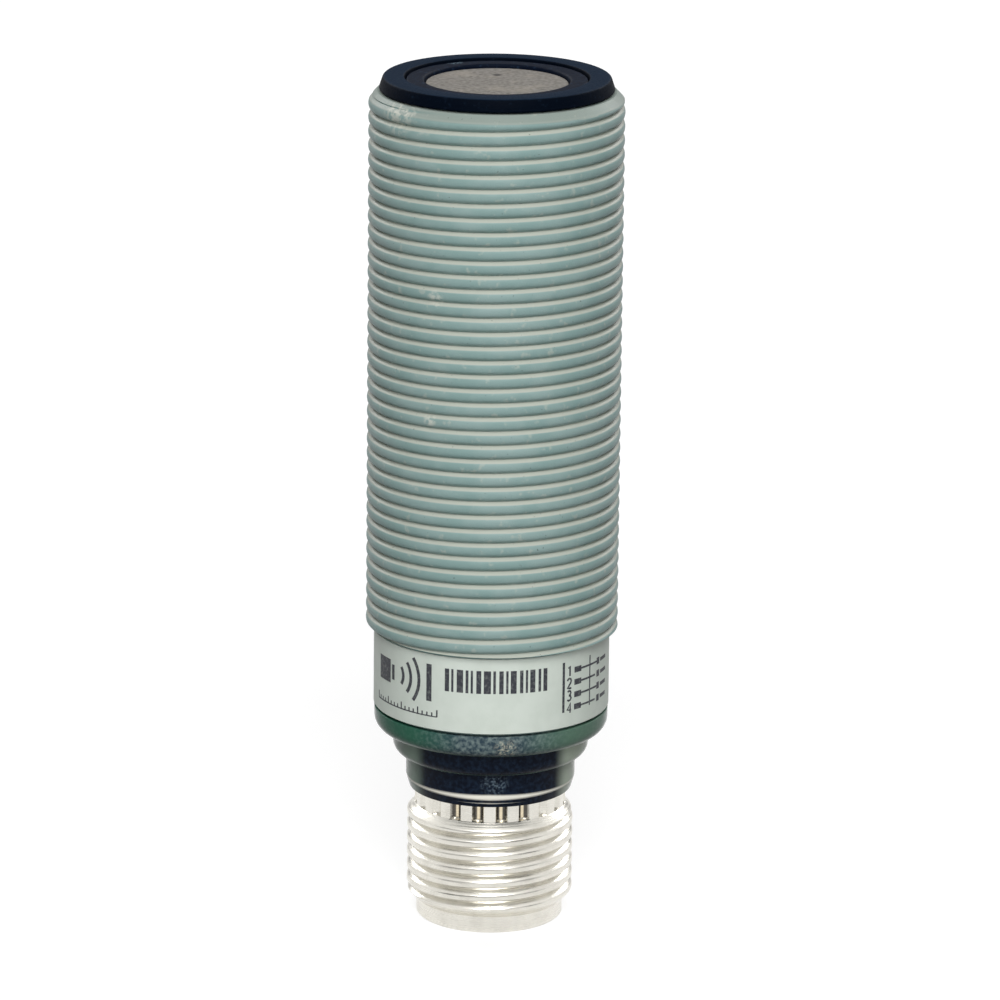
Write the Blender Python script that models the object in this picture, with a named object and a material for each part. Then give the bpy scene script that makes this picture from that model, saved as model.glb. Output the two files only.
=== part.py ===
"""Ultrasonic distance sensor: an M18 x 1 barrel of moulded plastic with an M12 x 1 metal plug.

The sensor stands on the rim of its plug. The origin is the middle of that rim, +Z points along the
barrel to the sensing face, and -Y is the side where the label is read. Lengths are in metres.
"""

import math

import bmesh
import bpy
from mathutils import Matrix, Vector

MM = 0.001

# Round pieces share one number of sides, so that the walls of nested pieces stay parallel
SIDES = 24
PIN_SIDES = 10
ARC_STEPS = 3

# Clearances
SEAT_GAP = 0.1 * MM
FIT_GAP = 0.1 * MM
LABEL_GLUE = 0.05 * MM
BOARD_SIDE_GAP = 0.3 * MM
BOARD_END_GAP = 0.7 * MM

# Both threads are right-handed and of the same pitch
PITCH = 1.0 * MM

# Plug shell. Its thread is the driving size, and its other radii lie below the crests
PLUG_THREAD_RADIUS = 5.9 * MM
PLUG_THREAD_DEPTH = 0.45 * MM
PLUG_CREST_WIDTH = 0.4 * MM
PLUG_THREAD_LENGTH = 7.1 * MM
PLUG_GROOVE_HEIGHT = 0.58 * MM
PLUG_PILOT_STEP = 0.7 * MM
PLUG_PILOT_BEVEL = 0.15 * MM
PLUG_PILOT_LENGTH = 1.2 * MM
PLUG_NECK_STEP = 0.55 * MM
PLUG_NECK_LENGTH = 1.25 * MM
PLUG_GRIP_LENGTH = 4.95 * MM
PLUG_WALL = 1.0 * MM
PLUG_MOUTH_BEVEL = 0.15 * MM
FLUTES = 20
FLUTE_WIDTH = 0.65 * MM
FLUTE_DEPTH = 0.35 * MM
FLUTE_GRIP_LENGTH = 2.95 * MM

# Contacts of the plug and the insulator that carries them
SOCKET_DEPTH = 8.5 * MM
CARRIER_RECESS = 0.1 * MM
KEY_WIDTH = 1.1 * MM
KEY_HEIGHT = 0.55 * MM
KEY_SETBACK = 2.0 * MM
KEY_TURN = math.radians(90)
PIN_RADIUS = 0.5 * MM
PIN_CIRCLE_RADIUS = 2.5 * MM
PIN_SETBACK = 1.2 * MM
PIN_TIP_LENGTH = 0.5 * MM
PIN_TIP_RADIUS = 0.25 * MM
PIN_TAIL_LENGTH = 0.5 * MM
PIN_TURNS = tuple(math.radians(turn) for turn in (45, 135, 225, 315))

# Rear cap: three rounded steps over the neck of the plug, and a skirt inside the barrel
CAP_LOWER_WALL = 0.55 * MM
CAP_LOWER_HEIGHT = 2.45 * MM
CAP_MIDDLE_HEIGHT = 1.8 * MM
CAP_MIDDLE_ROUND = 0.95 * MM
CAP_UPPER_LIP = 0.1 * MM
CAP_UPPER_HEIGHT = 1.7 * MM
CAP_UPPER_ROUND = 1.15 * MM
CAP_SKIRT_LENGTH = 3.55 * MM
CAP_SKIRT_WALL = 1.2 * MM

# Sealing rings: one in the skirt of the rear cap, one in that of the front cap
SEAL_CORD_RADIUS = 0.3 * MM
SEAL_SIDES = 6

# Barrel. Its thread is the driving size of everything around and inside it
BARREL_THREAD_RADIUS = 8.9 * MM
BARREL_THREAD_DEPTH = 0.42 * MM
BARREL_CREST_WIDTH = 0.56 * MM
BARREL_THREAD_LENGTH = 38.5 * MM
BARREL_GROOVE_HEIGHT = 0.9 * MM
BARREL_MOUTH_BEVEL = 0.6 * MM
LABEL_SEAT_STEP = 0.72 * MM
LABEL_SEAT_SHOULDER = 0.15 * MM
LABEL_SEAT_LENGTH = 5.7 * MM
BARREL_WALL = 0.88 * MM

# Label around the plain end of the barrel
LABEL_THICKNESS = 0.1 * MM
LABEL_LOWER_MARGIN = 0.15 * MM
LABEL_UPPER_MARGIN = 0.1 * MM
LABEL_SEAM_WIDTH = 0.8 * MM

# Front cap with its raised rim
FRONT_RIM_INSET = 0.1 * MM
FRONT_RIM_DRAFT = 0.3 * MM
FRONT_RIM_BEVEL = 0.12 * MM
FRONT_RIM_HEIGHT = 0.9 * MM
FRONT_SKIRT_WALL = 0.8 * MM
FRONT_SKIRT_LENGTH = 4.6 * MM
FRONT_WINDOW_BEVEL = 0.15 * MM
FRONT_SHELF_THICKNESS = 1.2 * MM
FRONT_SHELF_WIDTH = 1.8 * MM

# Transducer behind the window: a matching layer on a piezo disc, in a soft ring, with foam behind
RING_WIDTH = 1.25 * MM
RING_RECESS = 0.2 * MM
RING_LEDGE_WIDTH = 0.75 * MM
LAYER_THICKNESS = 1.15 * MM
LAYER_RECESS = 0.45 * MM
PIEZO_SIDE_GAP = 0.2 * MM
PIEZO_THICKNESS = 1.5 * MM
FOAM_INSET = 1.0 * MM
FOAM_THICKNESS = 3.6 * MM
LEAD_RADIUS = 0.2 * MM
LEAD_FOAM_GAP = 0.2 * MM
LEAD_BOW = 0.35 * MM
LEAD_OVERLAP = 2.2 * MM
LEAD_POINTS = 9

# Boards
MAIN_BOARD_THICKNESS = 0.8 * MM
MAIN_BOARD_CORNER = 0.8 * MM
TERMINAL_BOARD_THICKNESS = 0.8 * MM
SOLDER_GAP = 0.1 * MM

# Packages on the main board: each one's size across, off and along the board
DRUM_SIZE = (5.2 * MM, 3.4 * MM, 5.2 * MM)
SMALL_OUTLINE_SIZE = (3.9 * MM, 1.4 * MM, 4.9 * MM)
QUAD_FLAT_SIZE = (7.0 * MM, 1.2 * MM, 7.0 * MM)
REGULATOR_SIZE = (6.5 * MM, 1.6 * MM, 3.5 * MM)
TANTALUM_SIZE = (3.5 * MM, 1.9 * MM, 2.8 * MM)
CAPACITOR_SIZE = (2.0 * MM, 1.2 * MM, 1.25 * MM)
THERMISTOR_SIZE = (2.0 * MM, 0.9 * MM, 1.25 * MM)
CRYSTAL_SIZE = (3.2 * MM, 0.9 * MM, 2.5 * MM)
PACKAGE_BEVEL = 0.12 * MM
LID_BEVEL = 0.08 * MM
LID_INSET = 0.2 * MM
LID_HEIGHT = 0.45 * MM
END_CAP_THICKNESS = 0.05 * MM
END_CAP_WIDTH = 0.4 * MM
TERMINAL_THICKNESS = 0.2 * MM
TERMINAL_WIDTH = 2.1 * MM
TERMINAL_RISE = 1.1 * MM
DRUM_FLANGE = 0.65 * MM
DRUM_GROOVE = 0.6 * MM
DRUM_SIDES = 20

# Their bent legs: a group is how many there are on one side, how far apart and how wide
LEG_PAIR_GROUP = (4, 1.27 * MM, 0.42 * MM)
LEG_QUAD_GROUP = (8, 0.8 * MM, 0.37 * MM)
LEG_POWER_GROUP = (3, 2.3 * MM, 0.7 * MM)
LEG_TAB_GROUP = (1, 0, 3.0 * MM)
LEG_REACH = 1.05 * MM
LEG_FOOT = 0.45 * MM
LEG_THICKNESS = 0.15 * MM
LEG_RISE = 0.6 * MM
LEG_ROOT = 0.2 * MM

# Status lamps on the terminal board, level with the top of the rear cap
LAMP_SIZE = (1.6 * MM, 1.0 * MM, 0.7 * MM)
LAMP_WALL_GAP = 0.25 * MM
LAMP_TURNS = tuple(math.radians(turn) for turn in (45, 135, 225, 315))

# Heights that follow from the lengths above
PLUG_THREAD_BOTTOM = PLUG_PILOT_LENGTH
PLUG_THREAD_TOP = PLUG_THREAD_BOTTOM + PLUG_THREAD_LENGTH
REAR_CAP_BOTTOM = PLUG_THREAD_TOP + PLUG_NECK_LENGTH
PLUG_TOP = REAR_CAP_BOTTOM + PLUG_GRIP_LENGTH
FLUTE_LENGTH = PLUG_NECK_LENGTH + FLUTE_GRIP_LENGTH
CARRIER_TOP = PLUG_TOP - CARRIER_RECESS
CAP_MIDDLE_BOTTOM = REAR_CAP_BOTTOM + CAP_LOWER_HEIGHT
CAP_UPPER_BOTTOM = CAP_MIDDLE_BOTTOM + CAP_MIDDLE_HEIGHT
REAR_CAP_SHOULDER = CAP_UPPER_BOTTOM + CAP_UPPER_HEIGHT
REAR_CAP_TOP = REAR_CAP_SHOULDER + CAP_SKIRT_LENGTH
TERMINAL_BOARD_BOTTOM = REAR_CAP_SHOULDER + SEAT_GAP
TERMINAL_BOARD_TOP = TERMINAL_BOARD_BOTTOM + TERMINAL_BOARD_THICKNESS
BARREL_BOTTOM = REAR_CAP_SHOULDER + SEAT_GAP
BARREL_THREAD_BOTTOM = BARREL_BOTTOM + LABEL_SEAT_LENGTH
BARREL_TOP = BARREL_THREAD_BOTTOM + BARREL_THREAD_LENGTH
FRONT_RIM_BOTTOM = BARREL_TOP + SEAT_GAP
FRONT_TOP = FRONT_RIM_BOTTOM + FRONT_RIM_HEIGHT
FRONT_SKIRT_BOTTOM = FRONT_RIM_BOTTOM - FRONT_SKIRT_LENGTH
FRONT_SHELF_TOP = FRONT_SKIRT_BOTTOM + FRONT_SHELF_THICKNESS
LAYER_TOP = FRONT_TOP - LAYER_RECESS
LAYER_BOTTOM = LAYER_TOP - LAYER_THICKNESS
PIEZO_TOP = LAYER_BOTTOM - SEAT_GAP
PIEZO_BOTTOM = PIEZO_TOP - PIEZO_THICKNESS
FOAM_TOP = PIEZO_BOTTOM - SEAT_GAP
FOAM_BOTTOM = FOAM_TOP - FOAM_THICKNESS
MAIN_BOARD_BOTTOM = TERMINAL_BOARD_TOP + SEAT_GAP
MAIN_BOARD_STEP = REAR_CAP_TOP + SEAT_GAP
MAIN_BOARD_TOP = FOAM_BOTTOM - BOARD_END_GAP
REAR_SEAL_MIDDLE = REAR_CAP_SHOULDER + CAP_SKIRT_LENGTH / 2
FRONT_SEAL_MIDDLE = FRONT_SKIRT_BOTTOM + FRONT_SHELF_THICKNESS / 2

# Radii of the barrel and of what it holds, from the thread inwards
LABEL_SEAT_RADIUS = BARREL_THREAD_RADIUS - LABEL_SEAT_STEP
BARREL_MOUTH_RADIUS = BARREL_THREAD_RADIUS - BARREL_MOUTH_BEVEL
BARREL_BORE_RADIUS = LABEL_SEAT_RADIUS - BARREL_WALL
SKIRT_RADIUS = BARREL_BORE_RADIUS - FIT_GAP
SEAL_GROOVE_RADIUS = SKIRT_RADIUS - 2 * SEAL_CORD_RADIUS - 0.5 * FIT_GAP
SEAL_GROOVE_HEIGHT = 2 * SEAL_CORD_RADIUS + FIT_GAP
CAP_CAVITY_RADIUS = SKIRT_RADIUS - CAP_SKIRT_WALL
TERMINAL_BOARD_RADIUS = CAP_CAVITY_RADIUS - FIT_GAP
FRONT_RIM_RADIUS = BARREL_MOUTH_RADIUS - FRONT_RIM_INSET
FRONT_WINDOW_RADIUS = SKIRT_RADIUS - FRONT_SKIRT_WALL
FRONT_SHELF_RADIUS = FRONT_WINDOW_RADIUS - FRONT_SHELF_WIDTH
RING_RADIUS = FRONT_WINDOW_RADIUS - FIT_GAP
LAYER_RADIUS = RING_RADIUS - RING_WIDTH - FIT_GAP
RING_LEDGE_RADIUS = LAYER_RADIUS - RING_LEDGE_WIDTH
PIEZO_RADIUS = RING_LEDGE_RADIUS - PIEZO_SIDE_GAP
FOAM_RADIUS = PIEZO_RADIUS - FOAM_INSET
LEAD_SPREAD = FOAM_RADIUS + LEAD_FOAM_GAP + LEAD_RADIUS

# Radii of the plug, and of the rear cap between the plug and the barrel
PLUG_PILOT_RADIUS = PLUG_THREAD_RADIUS - PLUG_PILOT_STEP
PLUG_NECK_RADIUS = PLUG_THREAD_RADIUS - PLUG_NECK_STEP
PLUG_BORE_RADIUS = PLUG_NECK_RADIUS - PLUG_WALL
CARRIER_RADIUS = PLUG_BORE_RADIUS - FIT_GAP
PIN_HOLE_RADIUS = PIN_RADIUS + FIT_GAP
REAR_CAP_BORE_RADIUS = PLUG_NECK_RADIUS + FIT_GAP
CAP_LOWER_RADIUS = REAR_CAP_BORE_RADIUS + CAP_LOWER_WALL
CAP_UPPER_RADIUS = LABEL_SEAT_RADIUS + CAP_UPPER_LIP
CAP_MIDDLE_RADIUS = (CAP_LOWER_RADIUS + CAP_UPPER_RADIUS) / 2


def clear_scene():
    """Empty the scene that Blender starts with."""
    for old in list(bpy.data.objects):
        bpy.data.objects.remove(old, do_unlink=True)


def linear(hex_colour):
    """Linear red, green, blue and alpha of an sRGB hex colour."""
    channels = [int(hex_colour[at:at + 2], 16) / 255 for at in (0, 2, 4)]
    return [c / 12.92 if c <= 0.04045 else ((c + 0.055) / 1.055) ** 2.4 for c in channels] + [1.0]


def finish(name, hex_colour, roughness, metallic=0.0, transmission=0.0):
    """A Principled material, made once for each name."""
    material = bpy.data.materials.get(name)
    if material:
        return material
    material = bpy.data.materials.new(name)
    material.use_nodes = True
    shader = material.node_tree.nodes["Principled BSDF"]
    shader.inputs["Base Color"].default_value = linear(hex_colour)
    shader.inputs["Roughness"].default_value = roughness
    shader.inputs["Metallic"].default_value = metallic
    shader.inputs["Transmission Weight"].default_value = transmission
    material.diffuse_color = linear(hex_colour)
    return material


def add_object(name, bm, material, smooth=True):
    """Turn a bmesh into an object of the scene."""
    bmesh.ops.recalc_face_normals(bm, faces=bm.faces)
    mesh = bpy.data.meshes.new(name)
    bm.to_mesh(mesh)
    bm.free()
    if smooth:
        mesh.shade_smooth()
        mesh.set_sharp_from_angle(angle=math.radians(30))
    if material:
        mesh.materials.append(material)
    obj = bpy.data.objects.new(name, mesh)
    bpy.context.scene.collection.objects.link(obj)
    return obj


def as_cutter(obj):
    """Keep an object out of renders and of the finished part."""
    obj.hide_render = True
    obj.display_type = "WIRE"
    return obj


def cut(target, tool, operation="DIFFERENCE"):
    """Add an exact Boolean modifier."""
    modifier = target.modifiers.new(operation.title(), "BOOLEAN")
    modifier.operation = operation
    modifier.solver = "EXACT"
    modifier.object = as_cutter(tool)


def arc(centre_radius, centre_height, size, start, end, steps=ARC_STEPS):
    """Points of a round corner in a turned outline, its angles in degrees from outwards to up."""
    points = []
    for step in range(steps + 1):
        angle = math.radians(start + (end - start) * step / steps)
        points.append((centre_radius + size * math.cos(angle), centre_height + size * math.sin(angle)))
    return points


def turned(name, outline, material, sides=SIDES):
    """A solid of revolution: a closed outline of (radius, height) points spun about Z."""
    bm = bmesh.new()
    corners = [bm.verts.new((radius, 0, height)) for radius, height in outline]
    edges = [bm.edges.new((a, b)) for a, b in zip(corners, corners[1:] + corners[:1])]
    bmesh.ops.spin(
        bm,
        geom=corners + edges,
        cent=(0, 0, 0),
        axis=(0, 0, 1),
        angle=2 * math.pi,
        steps=sides,
        use_merge=True,
    )
    bmesh.ops.remove_doubles(bm, verts=bm.verts, dist=0.001 * MM)
    loose = [edge for edge in bm.edges if not edge.link_faces]
    bmesh.ops.delete(bm, geom=loose, context="EDGES")
    return add_object(name, bm, material)


def brick(name, size, material, centre=(0, 0, 0), turn=0.0):
    """A rectangular block, turned about Z and set with its middle at centre."""
    bm = bmesh.new()
    bmesh.ops.create_cube(bm, size=1.0)
    bmesh.ops.scale(bm, vec=size, verts=bm.verts)
    obj = add_object(name, bm, material, smooth=False)
    obj.location = centre
    obj.rotation_euler.z = turn
    return obj


def thread_column(turn, bottom, top, crest, depth, crest_width, groove_height, ends):
    """The outer line of a threaded length at one turn about Z, as (radius, height) from the bottom up.

    The groove climbs one pitch in a whole turn. Each end, the bottom one first, is the radius where
    its chamfer starts and how high the chamfer is. Where the groove meets a chamfer, the smaller
    radius wins, so that the groove runs out through it.
    """
    half_groove = (PITCH - crest_width) / 2
    (bottom_radius, bottom_rise), (top_radius, top_rise) = ends

    def envelope(height):
        above_bottom = bottom_radius + (crest - bottom_radius) * (height - bottom) / bottom_rise
        below_top = top_radius + (crest - top_radius) * (top - height) / top_rise
        return min(crest, above_bottom, below_top)

    def radius_at(height):
        off_groove = (height - groove_height - turn * PITCH) % PITCH
        off_groove = min(off_groove, PITCH - off_groove)
        flank = crest - depth * max(0.0, 1 - off_groove / half_groove)
        return min(flank, envelope(height))

    planes = [bottom, bottom + bottom_rise, top - top_rise, top]
    lines = []
    first = math.floor((bottom - groove_height) / PITCH - turn) - 1
    last = math.ceil((top - groove_height) / PITCH - turn) + 1
    for groove in range(first, last + 1):
        middle = groove_height + (groove + turn) * PITCH
        lines += [middle - half_groove, middle, middle + half_groove]
    apart = 0.04 * PITCH
    lines = [z for z in lines if bottom < z < top and all(abs(z - plane) > apart for plane in planes)]
    return [(radius_at(z), z) for z in sorted(lines + planes)]


def skin(bm, left, right):
    """Close the strip between two neighbouring lines of vertices, both running upwards."""
    at_left, at_right = 0, 0
    while at_left < len(left) - 1 or at_right < len(right) - 1:
        climb_left = at_right == len(right) - 1 or (
            at_left < len(left) - 1 and left[at_left + 1].co.z <= right[at_right + 1].co.z
        )
        if climb_left:
            bm.faces.new((left[at_left], right[at_right], left[at_left + 1]))
            at_left += 1
        else:
            bm.faces.new((left[at_left], right[at_right], right[at_right + 1]))
            at_right += 1


def threaded(name, below, above, material, **thread):
    """A turned solid with a thread between the fixed points below it and those above it.

    One closed outline is made for each side of the solid, and neighbouring outlines are joined.
    """
    bm = bmesh.new()
    rows = []
    for side in range(SIDES):
        turn = side / SIDES
        angle = 2 * math.pi * turn
        column = thread_column(turn, **thread)
        stretches = []
        for stretch in (below, column, above):
            places = [(r * math.cos(angle), r * math.sin(angle), z) for r, z in stretch]
            stretches.append([bm.verts.new(place) for place in places])
        rows.append(stretches)
    for side in range(SIDES):
        left, right = rows[side], rows[(side + 1) % SIDES]
        skin(bm, left[1], right[1])
        left_fixed = [left[1][-1]] + left[2] + left[0] + [left[1][0]]
        right_fixed = [right[1][-1]] + right[2] + right[0] + [right[1][0]]
        for step in range(len(left_fixed) - 1):
            quad = (left_fixed[step], right_fixed[step], right_fixed[step + 1], left_fixed[step + 1])
            bm.faces.new(quad)
    return add_object(name, bm, material)


def seal_groove(middle):
    """The outline of a sealing ring's groove in a skirt, from its lower lip to its upper one."""
    bottom = middle - SEAL_GROOVE_HEIGHT / 2
    top = middle + SEAL_GROOVE_HEIGHT / 2
    return [
        (SKIRT_RADIUS, bottom),
        (SEAL_GROOVE_RADIUS, bottom),
        (SEAL_GROOVE_RADIUS, top),
        (SKIRT_RADIUS, top),
    ]


def make_barrel():
    """Housing: one moulding with the M18 thread outside and a plain bore."""
    plastic = finish("grey_green_pbt", "A3B1AD", 0.45)
    threaded(
        "threaded_housing",
        below=[(BARREL_BORE_RADIUS, BARREL_BOTTOM), (LABEL_SEAT_RADIUS, BARREL_BOTTOM)],
        above=[(BARREL_BORE_RADIUS, BARREL_TOP)],
        material=plastic,
        bottom=BARREL_THREAD_BOTTOM,
        top=BARREL_TOP,
        crest=BARREL_THREAD_RADIUS,
        depth=BARREL_THREAD_DEPTH,
        crest_width=BARREL_CREST_WIDTH,
        groove_height=BARREL_GROOVE_HEIGHT,
        ends=((LABEL_SEAT_RADIUS, LABEL_SEAT_SHOULDER), (BARREL_MOUTH_RADIUS, BARREL_MOUTH_BEVEL)),
    )


def make_label():
    """Label wrapped round the plain end of the barrel, its two ends apart at the back."""
    inner = LABEL_SEAT_RADIUS + LABEL_GLUE
    outer = inner + LABEL_THICKNESS
    bottom = BARREL_BOTTOM + LABEL_LOWER_MARGIN
    top = BARREL_THREAD_BOTTOM - LABEL_UPPER_MARGIN
    outline = [(outer, bottom), (outer, top), (inner, top), (inner, bottom)]
    label = turned("type_label", outline, finish("label_film", "CDD5CD", 0.4))
    reach = 2 * LABEL_SEAT_RADIUS
    size = (LABEL_SEAM_WIDTH, reach, 2 * LABEL_SEAT_LENGTH)
    cut(label, brick("label_seam_cutter", size, None, (0, reach / 2, (bottom + top) / 2)))


def rounded_step(inner, outer, bottom, top, size):
    """One step of the rear cap, its lower edge rounded as far as its width and height allow."""
    size = min(size, outer - inner, top - bottom)
    return arc(outer - size, bottom + size, size, -90, 0) + [(outer, top)]


def make_rear_cap():
    """Rear cap: a smoked translucent moulding that lets the status lamps shine out."""
    outline = rounded_step(
        REAR_CAP_BORE_RADIUS, CAP_LOWER_RADIUS, REAR_CAP_BOTTOM, CAP_MIDDLE_BOTTOM, CAP_LOWER_WALL
    )
    outline += rounded_step(
        CAP_LOWER_RADIUS, CAP_MIDDLE_RADIUS, CAP_MIDDLE_BOTTOM, CAP_UPPER_BOTTOM, CAP_MIDDLE_ROUND
    )
    outline += rounded_step(
        CAP_MIDDLE_RADIUS, CAP_UPPER_RADIUS, CAP_UPPER_BOTTOM, REAR_CAP_SHOULDER, CAP_UPPER_ROUND
    )
    outline.append((SKIRT_RADIUS, REAR_CAP_SHOULDER))
    outline += seal_groove(REAR_SEAL_MIDDLE)
    outline += [
        (SKIRT_RADIUS, REAR_CAP_TOP),
        (CAP_CAVITY_RADIUS, REAR_CAP_TOP),
        (CAP_CAVITY_RADIUS, REAR_CAP_SHOULDER),
        (REAR_CAP_BORE_RADIUS, REAR_CAP_SHOULDER),
    ]
    turned("rear_cap", outline, finish("smoked_polycarbonate", "10192A", 0.15, transmission=0.3))


def make_front_cap():
    """Front cap: a raised rim on the barrel's mouth, and a skirt with a shelf for the transducer."""
    rim_top = FRONT_RIM_RADIUS - FRONT_RIM_DRAFT
    outline = [(FRONT_SHELF_RADIUS, FRONT_SKIRT_BOTTOM), (SKIRT_RADIUS, FRONT_SKIRT_BOTTOM)]
    outline += seal_groove(FRONT_SEAL_MIDDLE)
    outline += [
        (SKIRT_RADIUS, FRONT_RIM_BOTTOM),
        (FRONT_RIM_RADIUS, FRONT_RIM_BOTTOM),
        (rim_top, FRONT_TOP - FRONT_RIM_BEVEL),
        (rim_top - FRONT_RIM_BEVEL, FRONT_TOP),
        (FRONT_WINDOW_RADIUS + FRONT_WINDOW_BEVEL, FRONT_TOP),
        (FRONT_WINDOW_RADIUS, FRONT_TOP - FRONT_WINDOW_BEVEL),
        (FRONT_WINDOW_RADIUS, FRONT_SHELF_TOP),
        (FRONT_SHELF_RADIUS, FRONT_SHELF_TOP),
    ]
    turned("front_cap", outline, finish("black_abs", "10141E", 0.35))


def make_seal_rings():
    """Two sealing rings of round section, in the grooves of the caps."""
    rubber = finish("black_nitrile_rubber", "151515", 0.6)
    centre_radius = SEAL_GROOVE_RADIUS + 0.5 * FIT_GAP + SEAL_CORD_RADIUS
    heights = {"rear_seal_ring": REAR_SEAL_MIDDLE, "front_seal_ring": FRONT_SEAL_MIDDLE}
    for name, height in heights.items():
        section = arc(centre_radius, height, SEAL_CORD_RADIUS, 0, 360, SEAL_SIDES)
        turned(name, section[:-1], rubber)


def make_transducer():
    """Sensing element: matching layer, piezo disc, soft ring around them, foam and leads behind."""
    layer = [(0, LAYER_BOTTOM), (LAYER_RADIUS, LAYER_BOTTOM), (LAYER_RADIUS, LAYER_TOP), (0, LAYER_TOP)]
    turned("matching_layer", layer, finish("glass_filled_epoxy", "96908A", 0.7))
    piezo = [(0, PIEZO_BOTTOM), (PIEZO_RADIUS, PIEZO_BOTTOM), (PIEZO_RADIUS, PIEZO_TOP), (0, PIEZO_TOP)]
    turned("piezo_disc", piezo, finish("silvered_ceramic", "C9C6BD", 0.35, 0.6))
    foam = [(0, FOAM_BOTTOM), (FOAM_RADIUS, FOAM_BOTTOM), (FOAM_RADIUS, FOAM_TOP), (0, FOAM_TOP)]
    turned("backing_foam", foam, finish("damping_foam", "3A3B3D", 0.9))
    inner = LAYER_RADIUS + FIT_GAP
    bottom = FRONT_SHELF_TOP + SEAT_GAP
    ledge = LAYER_BOTTOM - SEAT_GAP
    ring = [
        (RING_LEDGE_RADIUS, bottom),
        (RING_RADIUS, bottom),
        (RING_RADIUS, FRONT_TOP - RING_RECESS),
        (inner, FRONT_TOP - RING_RECESS),
        (inner, ledge),
        (RING_LEDGE_RADIUS, ledge),
    ]
    turned("decoupling_ring", ring, finish("dark_silicone", "22303C", 0.5))
    for side, name in ((-1, "transducer_lead_left"), (1, "transducer_lead_right")):
        make_lead(name, side)


def make_lead(name, side):
    """A wire from the back of the piezo disc to the main board, slightly bowed."""
    top = PIEZO_BOTTOM - SEAT_GAP
    bottom = MAIN_BOARD_TOP - LEAD_OVERLAP
    off_board = MAIN_BOARD_THICKNESS / 2 + SOLDER_GAP + LEAD_RADIUS
    curve = bpy.data.curves.new(name, "CURVE")
    curve.dimensions = "3D"
    curve.bevel_depth = LEAD_RADIUS
    curve.bevel_resolution = 1
    curve.use_fill_caps = True
    spline = curve.splines.new("POLY")
    spline.points.add(LEAD_POINTS - 1)
    for index, point in enumerate(spline.points):
        along = index / (LEAD_POINTS - 1)
        bow = LEAD_BOW * math.sin(math.pi * along) ** 2
        point.co = (side * LEAD_SPREAD, off_board + bow, top + (bottom - top) * along, 1)
    curve.materials.append(finish("tinned_copper_wire", "B9B4A8", 0.35, 0.9))
    bpy.context.scene.collection.objects.link(bpy.data.objects.new(name, curve))


def make_main_board():
    """Main board, as wide as the bore, with a narrower tail inside the rear cap."""
    half_thickness = MAIN_BOARD_THICKNESS / 2
    half_width = math.sqrt((BARREL_BORE_RADIUS - BOARD_SIDE_GAP) ** 2 - half_thickness**2)
    half_tail = math.sqrt((CAP_CAVITY_RADIUS - BOARD_SIDE_GAP) ** 2 - half_thickness**2)
    right = [
        (half_tail, MAIN_BOARD_BOTTOM),
        (half_tail, MAIN_BOARD_STEP),
        (half_width, MAIN_BOARD_STEP),
        (half_width, MAIN_BOARD_TOP - MAIN_BOARD_CORNER),
        (half_width - MAIN_BOARD_CORNER, MAIN_BOARD_TOP),
    ]
    outline = right + [(-x, z) for x, z in reversed(right)]
    bm = bmesh.new()
    face = bm.faces.new([bm.verts.new((x, -half_thickness, z)) for x, z in outline])
    swept = bmesh.ops.extrude_face_region(bm, geom=[face])
    moved = [item for item in swept["geom"] if isinstance(item, bmesh.types.BMVert)]
    bmesh.ops.translate(bm, verts=moved, vec=(0, MAIN_BOARD_THICKNESS, 0))
    add_object("main_board", bm, finish("solder_mask_green", "1F5B35", 0.4), smooth=False)


def bevelled(obj, width=PACKAGE_BEVEL):
    """Break the edges of a block."""
    modifier = obj.modifiers.new("Edges", "BEVEL")
    modifier.width = width
    modifier.segments = 1
    return obj


def package_body(name, size, lift, look):
    """A block on the board: size is across, off and along it, and lift is the space under it."""
    body = brick(name, size, finish(*look))
    body.data.transform(Matrix.Translation((0, lift + size[1] / 2, 0)))
    return body


def fuse(body, tool):
    """Unite a body with another that moves with it."""
    tool.parent = body
    cut(body, tool, "UNION")


def bent_legs(name, size, sides):
    """A package's legs, each of them a strip bent down to a foot.

    A side is its turn about the board's normal, in degrees, and its group of legs.
    """
    profile = [
        (LEG_REACH, 0),
        (LEG_REACH, LEG_THICKNESS),
        (LEG_REACH - LEG_FOOT, LEG_THICKNESS),
        (LEG_REACH - LEG_FOOT - LEG_THICKNESS, LEG_RISE + LEG_THICKNESS),
        (-LEG_ROOT, LEG_RISE + LEG_THICKNESS),
        (-LEG_ROOT, LEG_RISE),
        (LEG_REACH - LEG_FOOT - 2 * LEG_THICKNESS, LEG_RISE),
        (LEG_REACH - LEG_FOOT - LEG_THICKNESS, 0),
    ]
    bm = bmesh.new()
    for turn, (count, spacing, width) in sides:
        spin = Matrix.Rotation(math.radians(turn), 4, "Y")
        half_body = size[0] / 2 if turn % 180 == 0 else size[2] / 2
        for index in range(count):
            start = (index - (count - 1) / 2) * spacing - width / 2
            corners = [bm.verts.new(spin @ Vector((half_body + out, off, start))) for out, off in profile]
            swept = bmesh.ops.extrude_face_region(bm, geom=[bm.faces.new(corners)])
            moved = [item for item in swept["geom"] if isinstance(item, bmesh.types.BMVert)]
            bmesh.ops.translate(bm, verts=moved, vec=spin @ Vector((0, 0, width)))
    return add_object(name, bm, None, smooth=False)


def leaded_package(name, size, sides):
    """A moulded package with bent legs along some of its sides."""
    body = bevelled(package_body(name, size, LEG_THICKNESS, ("chip_epoxy", "1B1C1F", 0.5)))
    fuse(body, bent_legs(name + "_legs", size, sides))
    return body


def small_outline_chip(name, size):
    """A package with four legs along each of two sides."""
    return leaded_package(name, size, [(turn, LEG_PAIR_GROUP) for turn in (0, 180)])


def quad_flat_chip(name, size):
    """A package with eight legs along each of four sides."""
    return leaded_package(name, size, [(turn, LEG_QUAD_GROUP) for turn in (0, 90, 180, 270)])


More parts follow.
